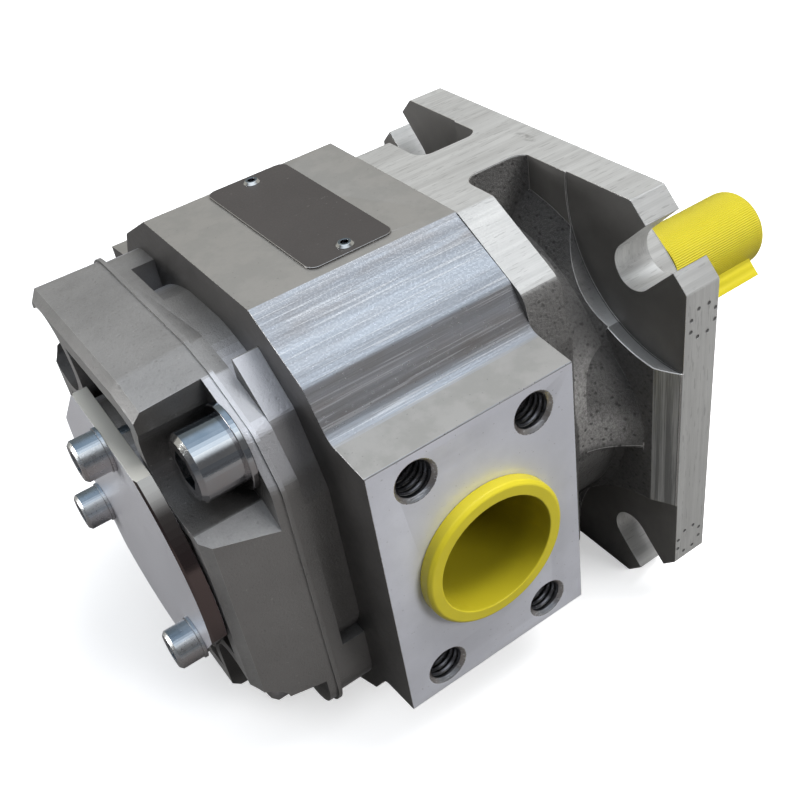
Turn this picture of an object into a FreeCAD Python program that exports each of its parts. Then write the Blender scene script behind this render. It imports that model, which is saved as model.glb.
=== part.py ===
import FreeCAD, Part
import math
import os

from FreeCAD import Vector

# An internal gear pump with a square four-slot mounting flange. Millimetres.
# X runs out along the shaft, Z is up, the suction port faces -Y.
# The origin is the centre of the flange's mounting face, on the shaft axis.

# Gears: the ring gear turns about its own axis, beside the shaft axis towards +Y
module = 3.25
pinion_teeth = 12
ring_teeth = 18
pressure_angle = math.radians(25.0)
pinion_addendum = 0.85
pinion_dedendum = 1.20
ring_addendum = 0.75
ring_dedendum = 1.05
backlash = 0.12                 # taken off each tooth's thickness
gear_width = 40.0
ring_gear_radius = 36.6
eccentricity = module * (ring_teeth - pinion_teeth) / 2.0
feed_hole_radius = 2.6

# Clearances between pieces
running_clearance = 0.05
loose_clearance = 0.20
seat_gap = 0.10
bolt_hole_clearance = 0.5

# Mounting flange
flange_width = 115.0
flange_height = 116.0
flange_thickness = 10.0
flange_corner_cut = 16.7
flange_back_skin = 0.4          # cast skin left outside the spot faces
spot_face_radius = 34.0
spot_face_offset = 54.5
slot_width = 11.5
slot_end_radius = 59.0          # shaft axis to the centre of a slot's round end
pilot_radius = 50.0
pilot_height = 8.0
pilot_chamfer = 1.0

# Front cover behind the flange
neck_length = 18.0
hub_radius = 42.0
hub_flare_radius = 50.5
hub_flare_length = 5.0
web_width = 16.5
web_centre_y = 2.75
web_fillet = 4.0
shoulder_thickness = 10.0
shoulder_flat_low = -17.0
shoulder_flat_high = 24.0
shoulder_side_low = -41.5
shoulder_side_high = 61.0
shoulder_corner_low_z = 45.7
shoulder_corner_high_z = 42.0
shoulder_corner_inset = 3.5
shoulder_high_run_y = 10.0
shoulder_high_run_z = 12.0
shoulder_low_run_z = 14.0
shoulder_side_radius = 6.0
shoulder_top_radius = 2.0
cover_boss_radius = 9.5
cover_boss_length = 7.0

# Gear housing, an extruded profile
body_height = flange_height      # flush with the flange above and below
housing_length = 52.0
housing_half_width = 62.5
housing_flat_half = 26.0
housing_slope_run = 17.6
housing_slope_drop = 10.0
pad_half_height = 36.7
pad_lift = 1.6
valley_inset = 12.5
gland_depth = 2.4
collector_depth = 1.5
collector_width = 18.0

# Ports
suction_bore_radius = 16.0
suction_pitch_x = 30.2
suction_pitch_z = 58.7
pressure_bore_radius = 12.5
pressure_pitch_x = 26.2
pressure_pitch_z = 52.4
port_thread_radius = 4.25
port_thread_depth = 18.0
port_thread_chamfer = 1.0

# Rear cover, a die casting with its parting line part way along
cover_depth = 28.5
parting_from_seat = 10.0
lip_thickness = 4.0
lip_inset = 0.6
parting_bead = 0.5
bead_width = 1.0
parting_half_width = 45.1
parting_half_height = 48.0
rim_half_width = 41.3
rim_half_height = 47.0
rim_bevel = 2.0
cover_corner_radius = 12.0      # at the parting line
rim_corner_radius = 4.0         # at the rear face
cover_edge_radius = 6.0
cover_flat_end = 12.0           # where the flat top ends towards the eased corner
cover_ease_end = 22.4
cover_ease_drop = 2.3
cover_knee_inset = 7.3
cover_knee_z = 39.2
cover_side_z = 28.0
lug_start_y = 27.25
eased_lug_start_y = 25.4
eased_lug_height = 49.6
eased_lug_start_z = 16.0
square_lug_start_z = 25.0
lug_top_radius = 0.5
cover_hub_radius = 48.0
rear_boss_radius = 32.0
rear_boss_lift = 0.5            # above the rim
rear_wall = 4.5
rear_recess_depth = 8.0

# Cover bolts
bolt_radius = 5.0
bolt_head_radius = 8.0
bolt_head_height = 10.0
bolt_hex = 8.0
bolt_hex_depth = 5.0
bolt_length = 80.0
bolt_offset_y = 31.5            # from the gear bore's axis
bolt_offset_z = 33.5
bolt_tip_room = 1.5
washer_radius = 10.0
washer_thickness = 1.6
pocket_radius = 11.0
pocket_window = 8.5
eased_pocket_window = 9.2
ledge_edge_width = 3.6          # the slanted edge of the ledge beside a bolt
ledge_edge_drop = 2.4
ledge_edge_radius = 1.2
pocket_wall = 3.5
seat_from_cover_face = 12.4
screw_chamfer = 0.14            # of a screw head's radius

# End plate
end_plate_y = 8.0               # its middle, between gear axis and shaft axis
end_plate_radius = 37.0
end_plate_flat = 33.2           # from its middle, beside each screw
wrench_flat = 33.2              # and where it clears the upper far bolt
wrench_flat_angle = 48.0
end_plate_thickness = 3.8
end_plate_chamfer = 0.5
spigot_radius = 17.0
spigot_length = 5.0
end_screw_circle = 29.2
end_screw_start = 99.5
end_screw_radius = 3.0
end_screw_head_radius = 5.0
end_screw_head_height = 6.0
end_screw_hex = 5.0
end_screw_hex_depth = 3.0
end_screw_grip = 10.0
end_washer_radius = 5.4
end_washer_thickness = 0.9

# Shaft, key and bearings
shaft_radius = 10.0
shaft_end_x = 70.0
seal_land_radius = 11.0
journal_radius = 12.5
journal_rear_length = 20.0
key_width = 6.0
key_height = 6.0
key_length = 28.0
key_depth = 3.5
key_angle = 225.0               # about the shaft axis, from +Y towards +Z
key_setback = 4.0
bush_wall = 2.0
front_bush_length = 20.0
rear_bush_length = 18.0
shaft_passage_radius = 13.6
shaft_chamfer = 1.0

# Shaft seal and its retaining ring
seal_pocket_radius = 20.0
seal_width = 7.0
seal_setback = 3.6
seal_wall = 1.4
circlip_thickness = 1.5
circlip_depth = 1.2
circlip_width = 3.2
circlip_gap_angle = 36.0

# Axial discs and the pressure field seals behind them
axial_disc_thickness = (housing_length - gear_width) / 2.0
disc_float = 0.05
field_mid_radius = 30.2
field_half_width = 3.6
field_seal_width = 1.6
field_seal_depth = 1.5
field_start = 60.0
field_sweep = 110.0

# Segment set in the crescent
segment_start = 15.0
segment_end = 80.0
segment_gap = 0.08
roller_radius = 1.5
roller_angles = (25.0, 68.0)    # about the shaft axis
spring_thickness = 0.5
spring_arc = 24.0
stop_pin_radius = 3.5
stop_pin_angle = 4.0
stop_pin_reach = 4.0

# Locating pins
dowel_radius = 2.0
dowel_length = 12.0
dowel_circle = 42.4

# Nameplate on the top flat
plate_length = 49.0
plate_width = 21.5
plate_thickness = 0.5
plate_corner = 2.5
plate_centre_x = -62.8
plate_centre_y = 10.9
rivet_pitch = 42.0
rivet_head_radius = 2.1
rivet_head_height = 0.7
rivet_radius = 1.2
rivet_length = 5.0
rivet_bore_radius = 0.9

# Protective caps and plugs
cap_wall = 1.3
cap_start_x = 38.0
cap_end_gap = 3.2
cap_round = 4.0
cap_key_room = 2.4
plug_lip_height = 3.5
plug_lip_width = 2.6
plug_wall = 1.0
plug_depth = 20.0
plug_fit = 0.10

# Stations along X and the axes that the pieces share
flange_back = -flange_thickness
shoulder_front = flange_back - neck_length
housing_front = shoulder_front - shoulder_thickness
housing_rear = housing_front - housing_length
housing_mid = (housing_front + housing_rear) / 2.0
parting_x = housing_rear - parting_from_seat
cover_rear = housing_rear - cover_depth
bolt_seat = housing_rear - seat_from_cover_face
plate_seat = cover_rear - rear_boss_lift
gear_front = housing_front - axial_disc_thickness
gear_rear = gear_front - gear_width
gear_y = eccentricity
half_height = body_height / 2.0
suction_y = gear_y - housing_half_width
pressure_y = gear_y + housing_half_width
bore_radius = ring_gear_radius + running_clearance
bush_radius = journal_radius + bush_wall
bolt_places = [(gear_y + sy * bolt_offset_y, sz * bolt_offset_z) for sy in (-1, 1) for sz in (-1, 1)]


def rod(radius, x_from, x_to, y=0.0, z=0.0):
    """A cylinder along X between two stations."""
    low = min(x_from, x_to)
    return Part.makeCylinder(radius, abs(x_to - x_from), Vector(low, y, z), Vector(1, 0, 0))


def tube(outer, inner, x_from, x_to, y=0.0, z=0.0):
    return rod(outer, x_from, x_to, y, z).cut(rod(inner, x_from, x_to, y, z))


def block(x_from, x_to, y_from, y_to, z_from, z_to):
    corner = Vector(min(x_from, x_to), min(y_from, y_to), min(z_from, z_to))
    return Part.makeBox(abs(x_to - x_from), abs(y_to - y_from), abs(z_to - z_from), corner)


def rounded_wire(corners, place):
    """A closed wire through corners (a, b, radius), each rounded by its own radius."""
    points = [Vector(a, b, 0) for a, b, _ in corners]
    starts, middles, ends = [], [], []
    for i, (_, _, radius) in enumerate(corners):
        here = points[i]
        back = (points[i - 1] - here).normalize()
        ahead = (points[(i + 1) % len(points)] - here).normalize()
        half = back.getAngle(ahead) / 2.0
        reach = radius / math.tan(half)
        centre = here + (back + ahead).normalize() * (radius / math.sin(half))
        starts.append(here + back * reach)
        ends.append(here + ahead * reach)
        middles.append(centre + (here - centre).normalize() * radius if radius > 0 else here)
    edges = []
    for i, (_, _, radius) in enumerate(corners):
        if radius > 0:
            edges.append(Part.Arc(place(starts[i]), place(middles[i]), place(ends[i])).toShape())
        following = starts[(i + 1) % len(points)]
        if following.distanceToPoint(ends[i]) > 1e-6:
            edges.append(Part.LineSegment(place(ends[i]), place(following)).toShape())
    return Part.Wire(edges)


def section(corners, x):
    """A rounded outline (y, z, radius) standing across the shaft at station x."""
    return rounded_wire(corners, lambda p: Vector(x, p.x, p.y))


def prism(corners, x_from, x_to):
    return Part.Face(section(corners, x_from)).extrude(Vector(x_to - x_from, 0, 0))


def revolved(profile, y=0.0, z=0.0):
    """A profile of (x, radius) points turned about an axis along X."""
    points = [Vector(x, y + r, z) for x, r in profile]
    face = Part.Face(Part.makePolygon(points + [points[0]]))
    return face.revolve(Vector(0, y, z), Vector(1, 0, 0), 360)


def about_shaft(shape, angle, y=0.0, z=0.0):
    turned = shape.copy()
    turned.rotate(Vector(0, y, z), Vector(1, 0, 0), angle)
    return turned


def joined(shapes):
    return shapes[0].multiFuse(shapes[1:]).removeSplitter() if len(shapes) > 1 else shapes[0]


def without(shape, tools):
    for tool in tools:
        shape = shape.cut(tool)
    return shape


def polar(radius, degrees, y=0.0, z=0.0):
    angle = math.radians(degrees)
    return y + radius * math.cos(angle), z + radius * math.sin(angle)


def involute(angle):
    return math.tan(angle) - angle


def flank_angle(radius, teeth, thinning):
    """Half the angle that a tooth spans at a radius, for an external gear."""
    pitch = module * teeth / 2.0
    base = pitch * math.cos(pressure_angle)
    local = math.acos(base / max(radius, base))
    half = math.pi / (2 * teeth) - thinning / (2 * pitch)
    return half + involute(pressure_angle) - involute(local)


def gear_outline(teeth, low, high, thinning, start):
    """A closed wire of teeth between two radii, the first centred at the start angle."""
    pitch = module * teeth / 2.0
    base = pitch * math.cos(pressure_angle)
    foot = max(low, base)
    step = 2 * math.pi / teeth

    def at(radius, angle):
        return Vector(0, radius * math.cos(angle), radius * math.sin(angle))

    edges = []
    for k in range(teeth):
        mid = start + k * step
        half_foot = flank_angle(foot, teeth, thinning)
        half_mean = flank_angle((foot + high) / 2, teeth, thinning)
        half_tip = flank_angle(high, teeth, thinning)
        up = [at(foot, mid - half_foot), at((foot + high) / 2, mid - half_mean), at(high, mid - half_tip)]
        down = [at(high, mid + half_tip), at((foot + high) / 2, mid + half_mean), at(foot, mid + half_foot)]
        if low < foot:
            edges.append(Part.LineSegment(at(low, mid - half_foot), up[0]).toShape())
        edges.append(Part.Arc(*up).toShape())
        edges.append(Part.Arc(up[2], at(high, mid), down[0]).toShape())
        edges.append(Part.Arc(*down).toShape())
        if low < foot:
            edges.append(Part.LineSegment(down[2], at(low, mid + half_foot)).toShape())
        gap_end = mid + step - half_foot
        gap_mid = (mid + half_foot + gap_end) / 2
        edges.append(Part.Arc(at(low, mid + half_foot), at(low, gap_mid), at(low, gap_end)).toShape())
    return Part.Wire(edges)


def hexagon(across, x_from, x_to, y, z):
    corner = across / math.sqrt(3)
    points = [(*polar(corner, 60 * k, y, z), 0) for k in range(6)]
    return prism(points, x_from, x_to)


def socket_screw(place, seat, sizes):
    """A socket head screw whose shank points to +X from its seat."""
    radius, head_radius, head_height, length, hex_size, hex_depth = sizes
    y, z = place
    chamfer = screw_chamfer * head_radius
    head_end = seat - head_height
    profile = [(head_end, 0), (head_end, head_radius - chamfer), (head_end + chamfer, head_radius)]
    profile += [(seat, head_radius), (seat, radius), (seat + length - chamfer, radius)]
    profile += [(seat + length, radius - chamfer), (seat + length, 0)]
    screw = revolved(profile, y, z)
    return screw.cut(hexagon(hex_size, head_end, head_end + hex_depth, y, z))


def ring_seal(radius, thickness, x, y=0.0, z=0.0):
    """A sealing ring of round section, its middle at station x."""
    return Part.makeTorus(radius, thickness / 2.0, Vector(x, y, z), Vector(1, 0, 0))


def mirrored_corners(half_outline):
    """Corners for z > 0 from +Y round to -Y, repeated below the middle plane."""
    return half_outline + [(y, -z, r) for y, z, r in reversed(half_outline)]


def half_turn_corners(half_outline, y):
    """Corners for z > 0 from +Y round to -Y, repeated by a half turn, all moved along Y."""
    turned = [(-a, -b, r) for a, b, r in half_outline]
    return [(y + a, b, r) for a, b, r in half_outline + turned]


def corner_slot_cutter(sign_y, sign_z):
    """The open slot at one corner of the flange, with its round inner end."""
    reach = flange_height
    angle = math.degrees(math.atan2(sign_z, sign_y))
    through = 2 * flange_thickness
    end = rod(slot_width / 2, -through, through, slot_end_radius, 0)
    run = block(-through, through, slot_end_radius, reach, -slot_width / 2, slot_width / 2)
    return about_shaft(end.fuse(run), angle)


def web_block(z_from, z_to):
    """The upright web of the neck, with round corners where it meets its neighbours."""
    low = web_centre_y - web_width / 2
    high = web_centre_y + web_width / 2
    front, back = flange_back, shoulder_front
    web = block(front + 0.5, back - 0.5, low, high, z_from, z_to)
    for x, side_x in ((front, -1), (back, 1)):
        for y, side_y in ((low, -1), (high, 1)):
            fillet = block(x, x + side_x * web_fillet, y, y + side_y * web_fillet, z_from, z_to)
            centre = Vector(x + side_x * web_fillet, y + side_y * web_fillet, z_from)
            fillet = fillet.cut(Part.makeCylinder(web_fillet, z_to - z_from, centre))
            web = web.fuse(fillet)
    return web


def shoulder_outline():
    """The shoulder's outline: a flat top, two slopes and rounded sides."""
    top = half_height
    side = shoulder_side_radius
    high = shoulder_side_high
    low = shoulder_side_low
    half = [(high, shoulder_corner_high_z - shoulder_high_run_z, side)]
    half += [(high - shoulder_high_run_y, shoulder_corner_high_z, side)]
    half += [(shoulder_flat_high, top, shoulder_top_radius), (shoulder_flat_low, top, shoulder_top_radius)]
    half += [(low + shoulder_corner_inset, shoulder_corner_low_z, side)]
    half += [(low, shoulder_corner_low_z - shoulder_low_run_z, side)]
    return mirrored_corners(half)


def make_front_cover():
    half_width = flange_width / 2
    half_tall = flange_height / 2
    cut = flange_corner_cut
    plate_corners = [(half_width, half_tall - cut, 1), (half_width - cut, half_tall, 1)]
    plate_corners += [(cut - half_width, half_tall, 1), (-half_width, half_tall - cut, 1)]
    plate = prism(mirrored_corners(plate_corners), flange_back - flange_back_skin, 0)
    hub_profile = [(shoulder_front - 1, 0), (shoulder_front - 1, hub_radius)]
    hub_profile += [(flange_back - hub_flare_length, hub_radius), (flange_back, hub_flare_radius)]
    hub_profile += [(flange_back, 0)]
    hub = revolved(hub_profile)
    shoulder = prism(shoulder_outline(), housing_front, shoulder_front)
    top_web = web_block(0, half_height)
    bottom_web = web_block(-half_height, 0)
    bosses = [rod(cover_boss_radius, shoulder_front - 1, shoulder_front + cover_boss_length, y, z)
              for y, z in bolt_places]
    pilot_profile = [(-1, 0), (-1, pilot_radius), (pilot_height - pilot_chamfer, pilot_radius)]
    pilot_profile += [(pilot_height, pilot_radius - pilot_chamfer), (pilot_height, 0)]
    pilot = revolved(pilot_profile)
    cover = joined([plate, hub, shoulder, top_web, bottom_web, pilot] + bosses)
    cuts = []
    for sy in (-1, 1):
        for sz in (-1, 1):
            cuts.append(corner_slot_cutter(sy, sz))
            spot = rod(spot_face_radius, flange_back, flange_back - hub_flare_length - 1,
                       sy * spot_face_offset, sz * spot_face_offset)
            cuts.append(spot)
    bush_end = housing_front + front_bush_length
    seal_front = pilot_height - seal_setback
    cuts.append(rod(bush_radius, housing_front, bush_end))
    cuts.append(rod(shaft_passage_radius, bush_end - 1, pilot_height))
    cuts.append(rod(seal_pocket_radius, seal_front - seal_width, pilot_height))
    cuts.append(rod(seal_pocket_radius + circlip_depth, seal_front, seal_front + circlip_thickness))
    tip = bolt_seat - washer_thickness + bolt_length
    cuts += [rod(bolt_radius, housing_front, tip + bolt_tip_room, y, z) for y, z in bolt_places]
    cuts += [rod(dowel_radius, housing_front, housing_front + dowel_length / 2, y, z)
             for y, z in dowel_places()]
    cuts.append(field_seal_shape(housing_front, housing_front + field_seal_depth, 0))
    y, z = stop_pin_place()
    cuts.append(rod(stop_pin_radius, housing_front, housing_front + stop_pin_reach, y, z))
    return without(cover, cuts)


def dowel_places():
    return [polar(dowel_circle, a, gear_y) for a in (90, 270)]


def stop_pin_place():
    middle = (module * pinion_teeth / 2 + eccentricity + module * ring_teeth / 2) / 2
    return polar(middle, stop_pin_angle)


def housing_outline():
    run = housing_flat_half + housing_slope_run
    slope_z = half_height - housing_slope_drop
    valley_y = housing_half_width - valley_inset
    half = [(housing_half_width, pad_half_height, 0.4)]
    half += [(valley_y, pad_half_height + pad_lift, 5), (run, slope_z, 3)]
    half += [(housing_flat_half, half_height, 0.5)]
    half = [(gear_y + y, z, r) for y, z, r in half]
    half += [(2 * gear_y - y, z, r) for y, z, r in reversed(half)]
    return mirrored_corners(half)


def port_thread_places(pitch_x, pitch_z):
    return [(housing_mid + sx * pitch_x / 2, sz * pitch_z / 2) for sx in (-1, 1) for sz in (-1, 1)]


def side_rod(radius, y_from, y_to, x, z):
    """A cylinder along Y."""
    low = min(y_from, y_to)
    return Part.makeCylinder(radius, abs(y_to - y_from), Vector(x, low, z), Vector(0, 1, 0))


def tapped_hole(face_y, inward, x, z):
    """A tapped hole's core with its countersink, drilled from a port face."""
    core = side_rod(port_thread_radius, face_y, face_y + inward * port_thread_depth, x, z)
    sink = Part.makeCone(port_thread_radius + port_thread_chamfer, port_thread_radius, port_thread_chamfer,
                         Vector(x, face_y, z), Vector(0, inward, 0))
    return core.fuse(sink)


def collector(start, end):
    """A groove round part of the gear bore that leads the oil to or from a port."""
    x_from = housing_mid - collector_width / 2
    x_to = housing_mid + collector_width / 2
    ring = tube(bore_radius + collector_depth, bore_radius - 1, x_from, x_to, gear_y)
    far = 3 * bore_radius
    wedge = [(gear_y, 0, 0)] + [(*polar(far, start + (end - start) * k / 3, gear_y), 0) for k in range(4)]
    return ring.common(prism(wedge, x_from, x_to))


def make_gear_housing():
    housing = prism(housing_outline(), housing_rear, housing_front)
    cuts = [rod(bore_radius, housing_rear, housing_front, gear_y)]
    for face, inward in ((housing_front, -1), (housing_rear, 1)):
        gland = Part.makeCone(bore_radius + gland_depth, bore_radius, gland_depth,
                              Vector(face, gear_y, 0), Vector(inward, 0, 0))
        cuts.append(gland)
        cuts += [rod(dowel_radius, face, face + inward * dowel_length / 2, y, z) for y, z in dowel_places()]
    cuts += [rod(bolt_radius + bolt_hole_clearance, housing_rear, housing_front, y, z)
             for y, z in bolt_places]
    cuts.append(collector(180.0, 330.0))
    cuts.append(collector(0.0, 150.0))
    cuts.append(side_rod(suction_bore_radius, suction_y, gear_y, housing_mid, 0))
    cuts.append(side_rod(pressure_bore_radius, gear_y, pressure_y, housing_mid, 0))
    for x, z in port_thread_places(suction_pitch_x, suction_pitch_z):
        cuts.append(tapped_hole(suction_y, 1, x, z))
    for x, z in port_thread_places(pressure_pitch_x, pressure_pitch_z):
        cuts.append(tapped_hole(pressure_y, -1, x, z))
    for y in rivet_places():
        cuts.append(Part.makeCylinder(rivet_radius, rivet_length, Vector(plate_centre_x, y, half_height),
                                      Vector(0, 0, -1)))
    return without(housing, cuts)


def cover_outline(half_width, half_tall, corner_radius):
    """The rear cover's outline: two square corners and, on the other diagonal, two eased ones."""
    half = [(half_width, half_tall, corner_radius)]
    half += [(-cover_flat_end, half_tall, cover_edge_radius)]
    half += [(-cover_ease_end, half_tall - cover_ease_drop, cover_edge_radius)]
    half += [(cover_knee_inset - half_width, cover_knee_z, cover_edge_radius)]
    half += [(-half_width, cover_side_z, cover_edge_radius)]
    return half_turn_corners(half, gear_y)


def bolt_pocket(y, z):
    """A round well over a cover bolt, with the cover's corner opened beside it."""
    side_y = 1 if y > gear_y else -1
    side_z = 1 if z > 0 else -1
    end = cover_rear - 1
    inner_y = y - side_y * pocket_radius
    inner_z = z - side_z * pocket_radius
    far_y = y + side_y * 2 * pocket_radius
    far_z = z + side_z * 2 * pocket_radius
    well = rod(pocket_radius, bolt_seat, end, y, z)
    if side_y * side_z < 0:
        edge_y = gear_y + side_y * (rim_half_width - ledge_edge_width)
        slope = ledge_edge_drop / ledge_edge_width
        end_z = inner_z - side_z * slope * abs(far_y - edge_y)
        beside = [(y, z, 0), (y, inner_z, 0), (edge_y, inner_z, ledge_edge_radius)]
        beside += [(far_y, end_z, 0), (far_y, z, 0)]
        above = block(bolt_seat, end, y - side_y * eased_pocket_window, far_y, z, far_z)
        return joined([well, prism(beside, bolt_seat, end), above])
    if side_z < 0:
        return well.fuse(block(bolt_seat, end, inner_y, far_y, z, far_z))
    return well.fuse(block(bolt_seat, end, y, far_y, z, z + pocket_window))


def cover_lugs(column):
    """The four blocks round the cover bolts, between the lip and the housing."""
    half_width = parting_half_width - lip_inset
    reach = 2 * parting_half_height
    front = parting_x + lip_thickness
    eased = [(-eased_lug_start_y, eased_lug_height, lug_top_radius)]
    eased += [(cover_knee_inset - half_width, cover_knee_z, cover_edge_radius)]
    eased += [(-half_width, cover_side_z - cover_edge_radius, cover_edge_radius)]
    eased += [(-half_width, eased_lug_start_z, 0), (-eased_lug_start_y, eased_lug_start_z, 0)]
    lugs = []
    for side in (1, -1):
        turned = [(gear_y + side * y, side * z, r) for y, z, r in eased]
        lugs.append(prism(turned, front, housing_rear))
        corner = block(parting_x, housing_rear, gear_y + side * lug_start_y, gear_y + side * reach,
                       side * square_lug_start_z, side * reach)
        lugs.append(corner.common(column))
    return lugs


def rear_recess(rear_outline):
    """The ring-shaped recess in the rear face, inside the rim and clear of boss and bolt wells."""
    depth = rear_recess_depth
    rim = Part.Face(section(rear_outline, cover_rear - 1)).makeOffset2D(-rear_wall)
    recess = rim.extrude(Vector(depth + 1, 0, 0))
    keep = [rod(rear_boss_radius, cover_rear - 2, cover_rear + depth + 1, end_plate_y)]
    keep += [rod(pocket_radius + pocket_wall, cover_rear - 2, cover_rear + depth + 1, y, z)
             for y, z in bolt_places]
    return without(recess, keep)


def make_rear_cover():
    parting = cover_outline(parting_half_width, parting_half_height, cover_corner_radius)
    rim = cover_outline(rim_half_width, rim_half_height, rim_corner_radius)
    rear = cover_outline(rim_half_width - rim_bevel, rim_half_height - rim_bevel, rim_corner_radius)
    bevel_x = cover_rear + rim_bevel
    body = Part.makeLoft([section(parting, parting_x), section(rim, bevel_x)], True, True)
    bevel = Part.makeLoft([section(rim, bevel_x), section(rear, cover_rear)], True, True)
    bead = prism(cover_outline(parting_half_width + parting_bead, parting_half_height + parting_bead,
                               cover_corner_radius), parting_x - bead_width / 2, parting_x + bead_width / 2)
    lip_outline = cover_outline(parting_half_width - lip_inset, parting_half_height - lip_inset,
                                cover_corner_radius)
    lip = prism(lip_outline, parting_x, parting_x + lip_thickness)
    column = prism(lip_outline, parting_x, housing_rear)
    hub = rod(cover_hub_radius, parting_x, housing_rear, gear_y).common(column)
    boss = rod(rear_boss_radius, cover_rear + rear_recess_depth, plate_seat, end_plate_y)
    cover = joined([body, bevel, lip, bead, hub, boss] + cover_lugs(column))
    cuts = [rear_recess(rear)]
    cuts += [bolt_pocket(y, z) for y, z in bolt_places]
    cuts += [rod(bolt_radius + bolt_hole_clearance, bolt_seat - 1, housing_rear, y, z)
             for y, z in bolt_places]
    cuts.append(rod(bush_radius, housing_rear, housing_rear - rear_bush_length))
    cuts.append(rod(shaft_passage_radius, housing_rear, plate_seat))
    cuts.append(rod(spigot_radius + seat_gap, plate_seat, plate_seat + spigot_length + seat_gap))
    cuts += [rod(dowel_radius, housing_rear, housing_rear - dowel_length / 2, y, z)
             for y, z in dowel_places()]
    cuts += [rod(end_screw_radius, plate_seat, plate_seat + end_screw_grip + 2, y, z)
             for y, z in end_screw_places()]
    cuts.append(field_seal_shape(housing_rear, housing_rear - field_seal_depth, 0))
    y, z = stop_pin_place()
    cuts.append(rod(stop_pin_radius, housing_rear, housing_rear - stop_pin_reach, y, z))
    return without(cover, cuts)


def end_screw_places():
    return [polar(end_screw_circle, end_screw_start + 120 * k, end_plate_y) for k in range(3)]


def make_end_plate():
    """A turned disc with a flat beside each screw, one more by a bolt, and a spigot in the shaft's bore."""
    rear = plate_seat - end_plate_thickness
    chamfer = end_plate_chamfer
    profile = [(plate_seat, 0), (plate_seat, end_plate_radius), (rear + chamfer, end_plate_radius)]
    profile += [(rear, end_plate_radius - chamfer), (rear, 0)]
    plate = revolved(profile, end_plate_y)
    flats = [(end_plate_flat, end_screw_start + 120 * k) for k in range(3)]
    for distance, angle in flats + [(wrench_flat, wrench_flat_angle)]:
        flat = block(plate_seat + 1, rear - 1, end_plate_y + distance, end_plate_y + 2 * end_plate_radius,
                     -end_plate_radius, end_plate_radius)
        plate = plate.cut(about_shaft(flat, angle, end_plate_y))
    groove_x = plate_seat + spigot_length / 2
    spigot = rod(spigot_radius, plate_seat - 1, plate_seat + spigot_length)
    groove = tube(spigot_radius + 1, spigot_radius - 1.5, groove_x - 1.1, groove_x + 1.1)
    plate = plate.fuse(spigot).cut(groove)
    holes = [rod(end_screw_radius + loose_clearance, plate_seat, rear, y, z)
             for y, z in end_screw_places()]
    return without(plate, holes)


def field_seal_shape(x_from, x_to, shrink):
    """The kidney-shaped loop on the pressure side of a cover's inner face."""
    loops = []
    for grow in (field_seal_width / 2 - shrink, -field_seal_width / 2 + shrink):
        wide = field_half_width + grow
        inner = field_mid_radius - wide
        outer = field_mid_radius + wide
        spread = math.degrees(grow / field_mid_radius)
        start = field_start - spread
        sweep = field_sweep + 2 * spread
        edges = [kidney_arc(outer, start, sweep), kidney_arc(inner, start, sweep)]
        ends = []
        for angle in (start, start + sweep):
            a = polar(inner, angle, gear_y)
            b = polar(outer, angle, gear_y)
            ends.append(Part.LineSegment(Vector(0, *a), Vector(0, *b)).toShape())
        wire = Part.Wire(Part.__sortEdges__(edges + ends))
        solid = Part.Face(wire).extrude(Vector(x_to - x_from, 0, 0))
        solid.translate(Vector(x_from, 0, 0))
        loops.append(solid)
    return loops[0].cut(loops[1])


def kidney_arc(radius, start, sweep):
    points = [Vector(0, *polar(radius, start + sweep * t, gear_y)) for t in (0, 0.5, 1)]
    return Part.Arc(*points).toShape()


def make_axial_disc(x_from, x_to):
    disc = rod(bore_radius - seat_gap, x_from, x_to, gear_y)
    disc = disc.cut(rod(journal_radius + loose_clearance, x_from, x_to))
    y, z = stop_pin_place()
    return disc.cut(rod(stop_pin_radius + seat_gap, x_from, x_to, y, z))


def make_pinion_shaft():
    """The shaft and its pinion, cut from one bar."""
    rear_end = housing_rear - journal_rear_length
    seal_rear = pilot_height - seal_setback - seal_width - 3
    c = shaft_chamfer
    profile = [(rear_end, 0), (rear_end, journal_radius - c), (rear_end + c, journal_radius)]
    profile += [(seal_rear - 1, journal_radius), (seal_rear, seal_land_radius)]
    profile += [(pilot_height + 2, seal_land_radius), (pilot_height + 2, shaft_radius)]
    profile += [(shaft_end_x - c, shaft_radius), (shaft_end_x, shaft_radius - c), (shaft_end_x, 0)]
    shaft = revolved(profile)
    pitch = module * pinion_teeth / 2
    wire = gear_outline(pinion_teeth, pitch - pinion_dedendum * module, pitch + pinion_addendum * module,
                        backlash, math.pi)
    pinion = Part.Face(wire).extrude(Vector(gear_width - 2 * disc_float, 0, 0))
    pinion.translate(Vector(gear_rear + disc_float, 0, 0))
    keyway = key_blank(key_width, shaft_radius - key_depth, shaft_radius + 1)
    return shaft.fuse(pinion).cut(keyway)


def key_blank(width, low, high):
    """A bar with round ends that lies along the shaft at the key's angle."""
    end = shaft_end_x - key_setback
    start = end - key_length
    bar = block(start + width / 2, end - width / 2, low, high, -width / 2, width / 2)
    for x in (start + width / 2, end - width / 2):
        bar = bar.fuse(Part.makeCylinder(width / 2, high - low, Vector(x, low, 0), Vector(0, 1, 0)))
    return about_shaft(bar, key_angle)


def make_ring_gear():
    """The internally toothed ring, with a feed hole through each tooth space."""
    pitch = module * ring_teeth / 2
    wire = gear_outline(ring_teeth, pitch - ring_addendum * module, pitch + ring_dedendum * module,
                        -backlash, math.pi)
    spaces = Part.Face(wire).extrude(Vector(gear_width, 0, 0))
    spaces.translate(Vector(gear_rear, gear_y, 0))
    ring = rod(ring_gear_radius, gear_rear + disc_float, gear_front - disc_float, gear_y).cut(spaces)
    holes = []
    for k in range(ring_teeth):
        hole = Part.makeCylinder(feed_hole_radius, ring_gear_radius, Vector(housing_mid, gear_y, 0),
                                 Vector(0, 1, 0))
        holes.append(about_shaft(hole, 180 + 360.0 / ring_teeth * k, gear_y))
    return without(ring, holes)


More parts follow.
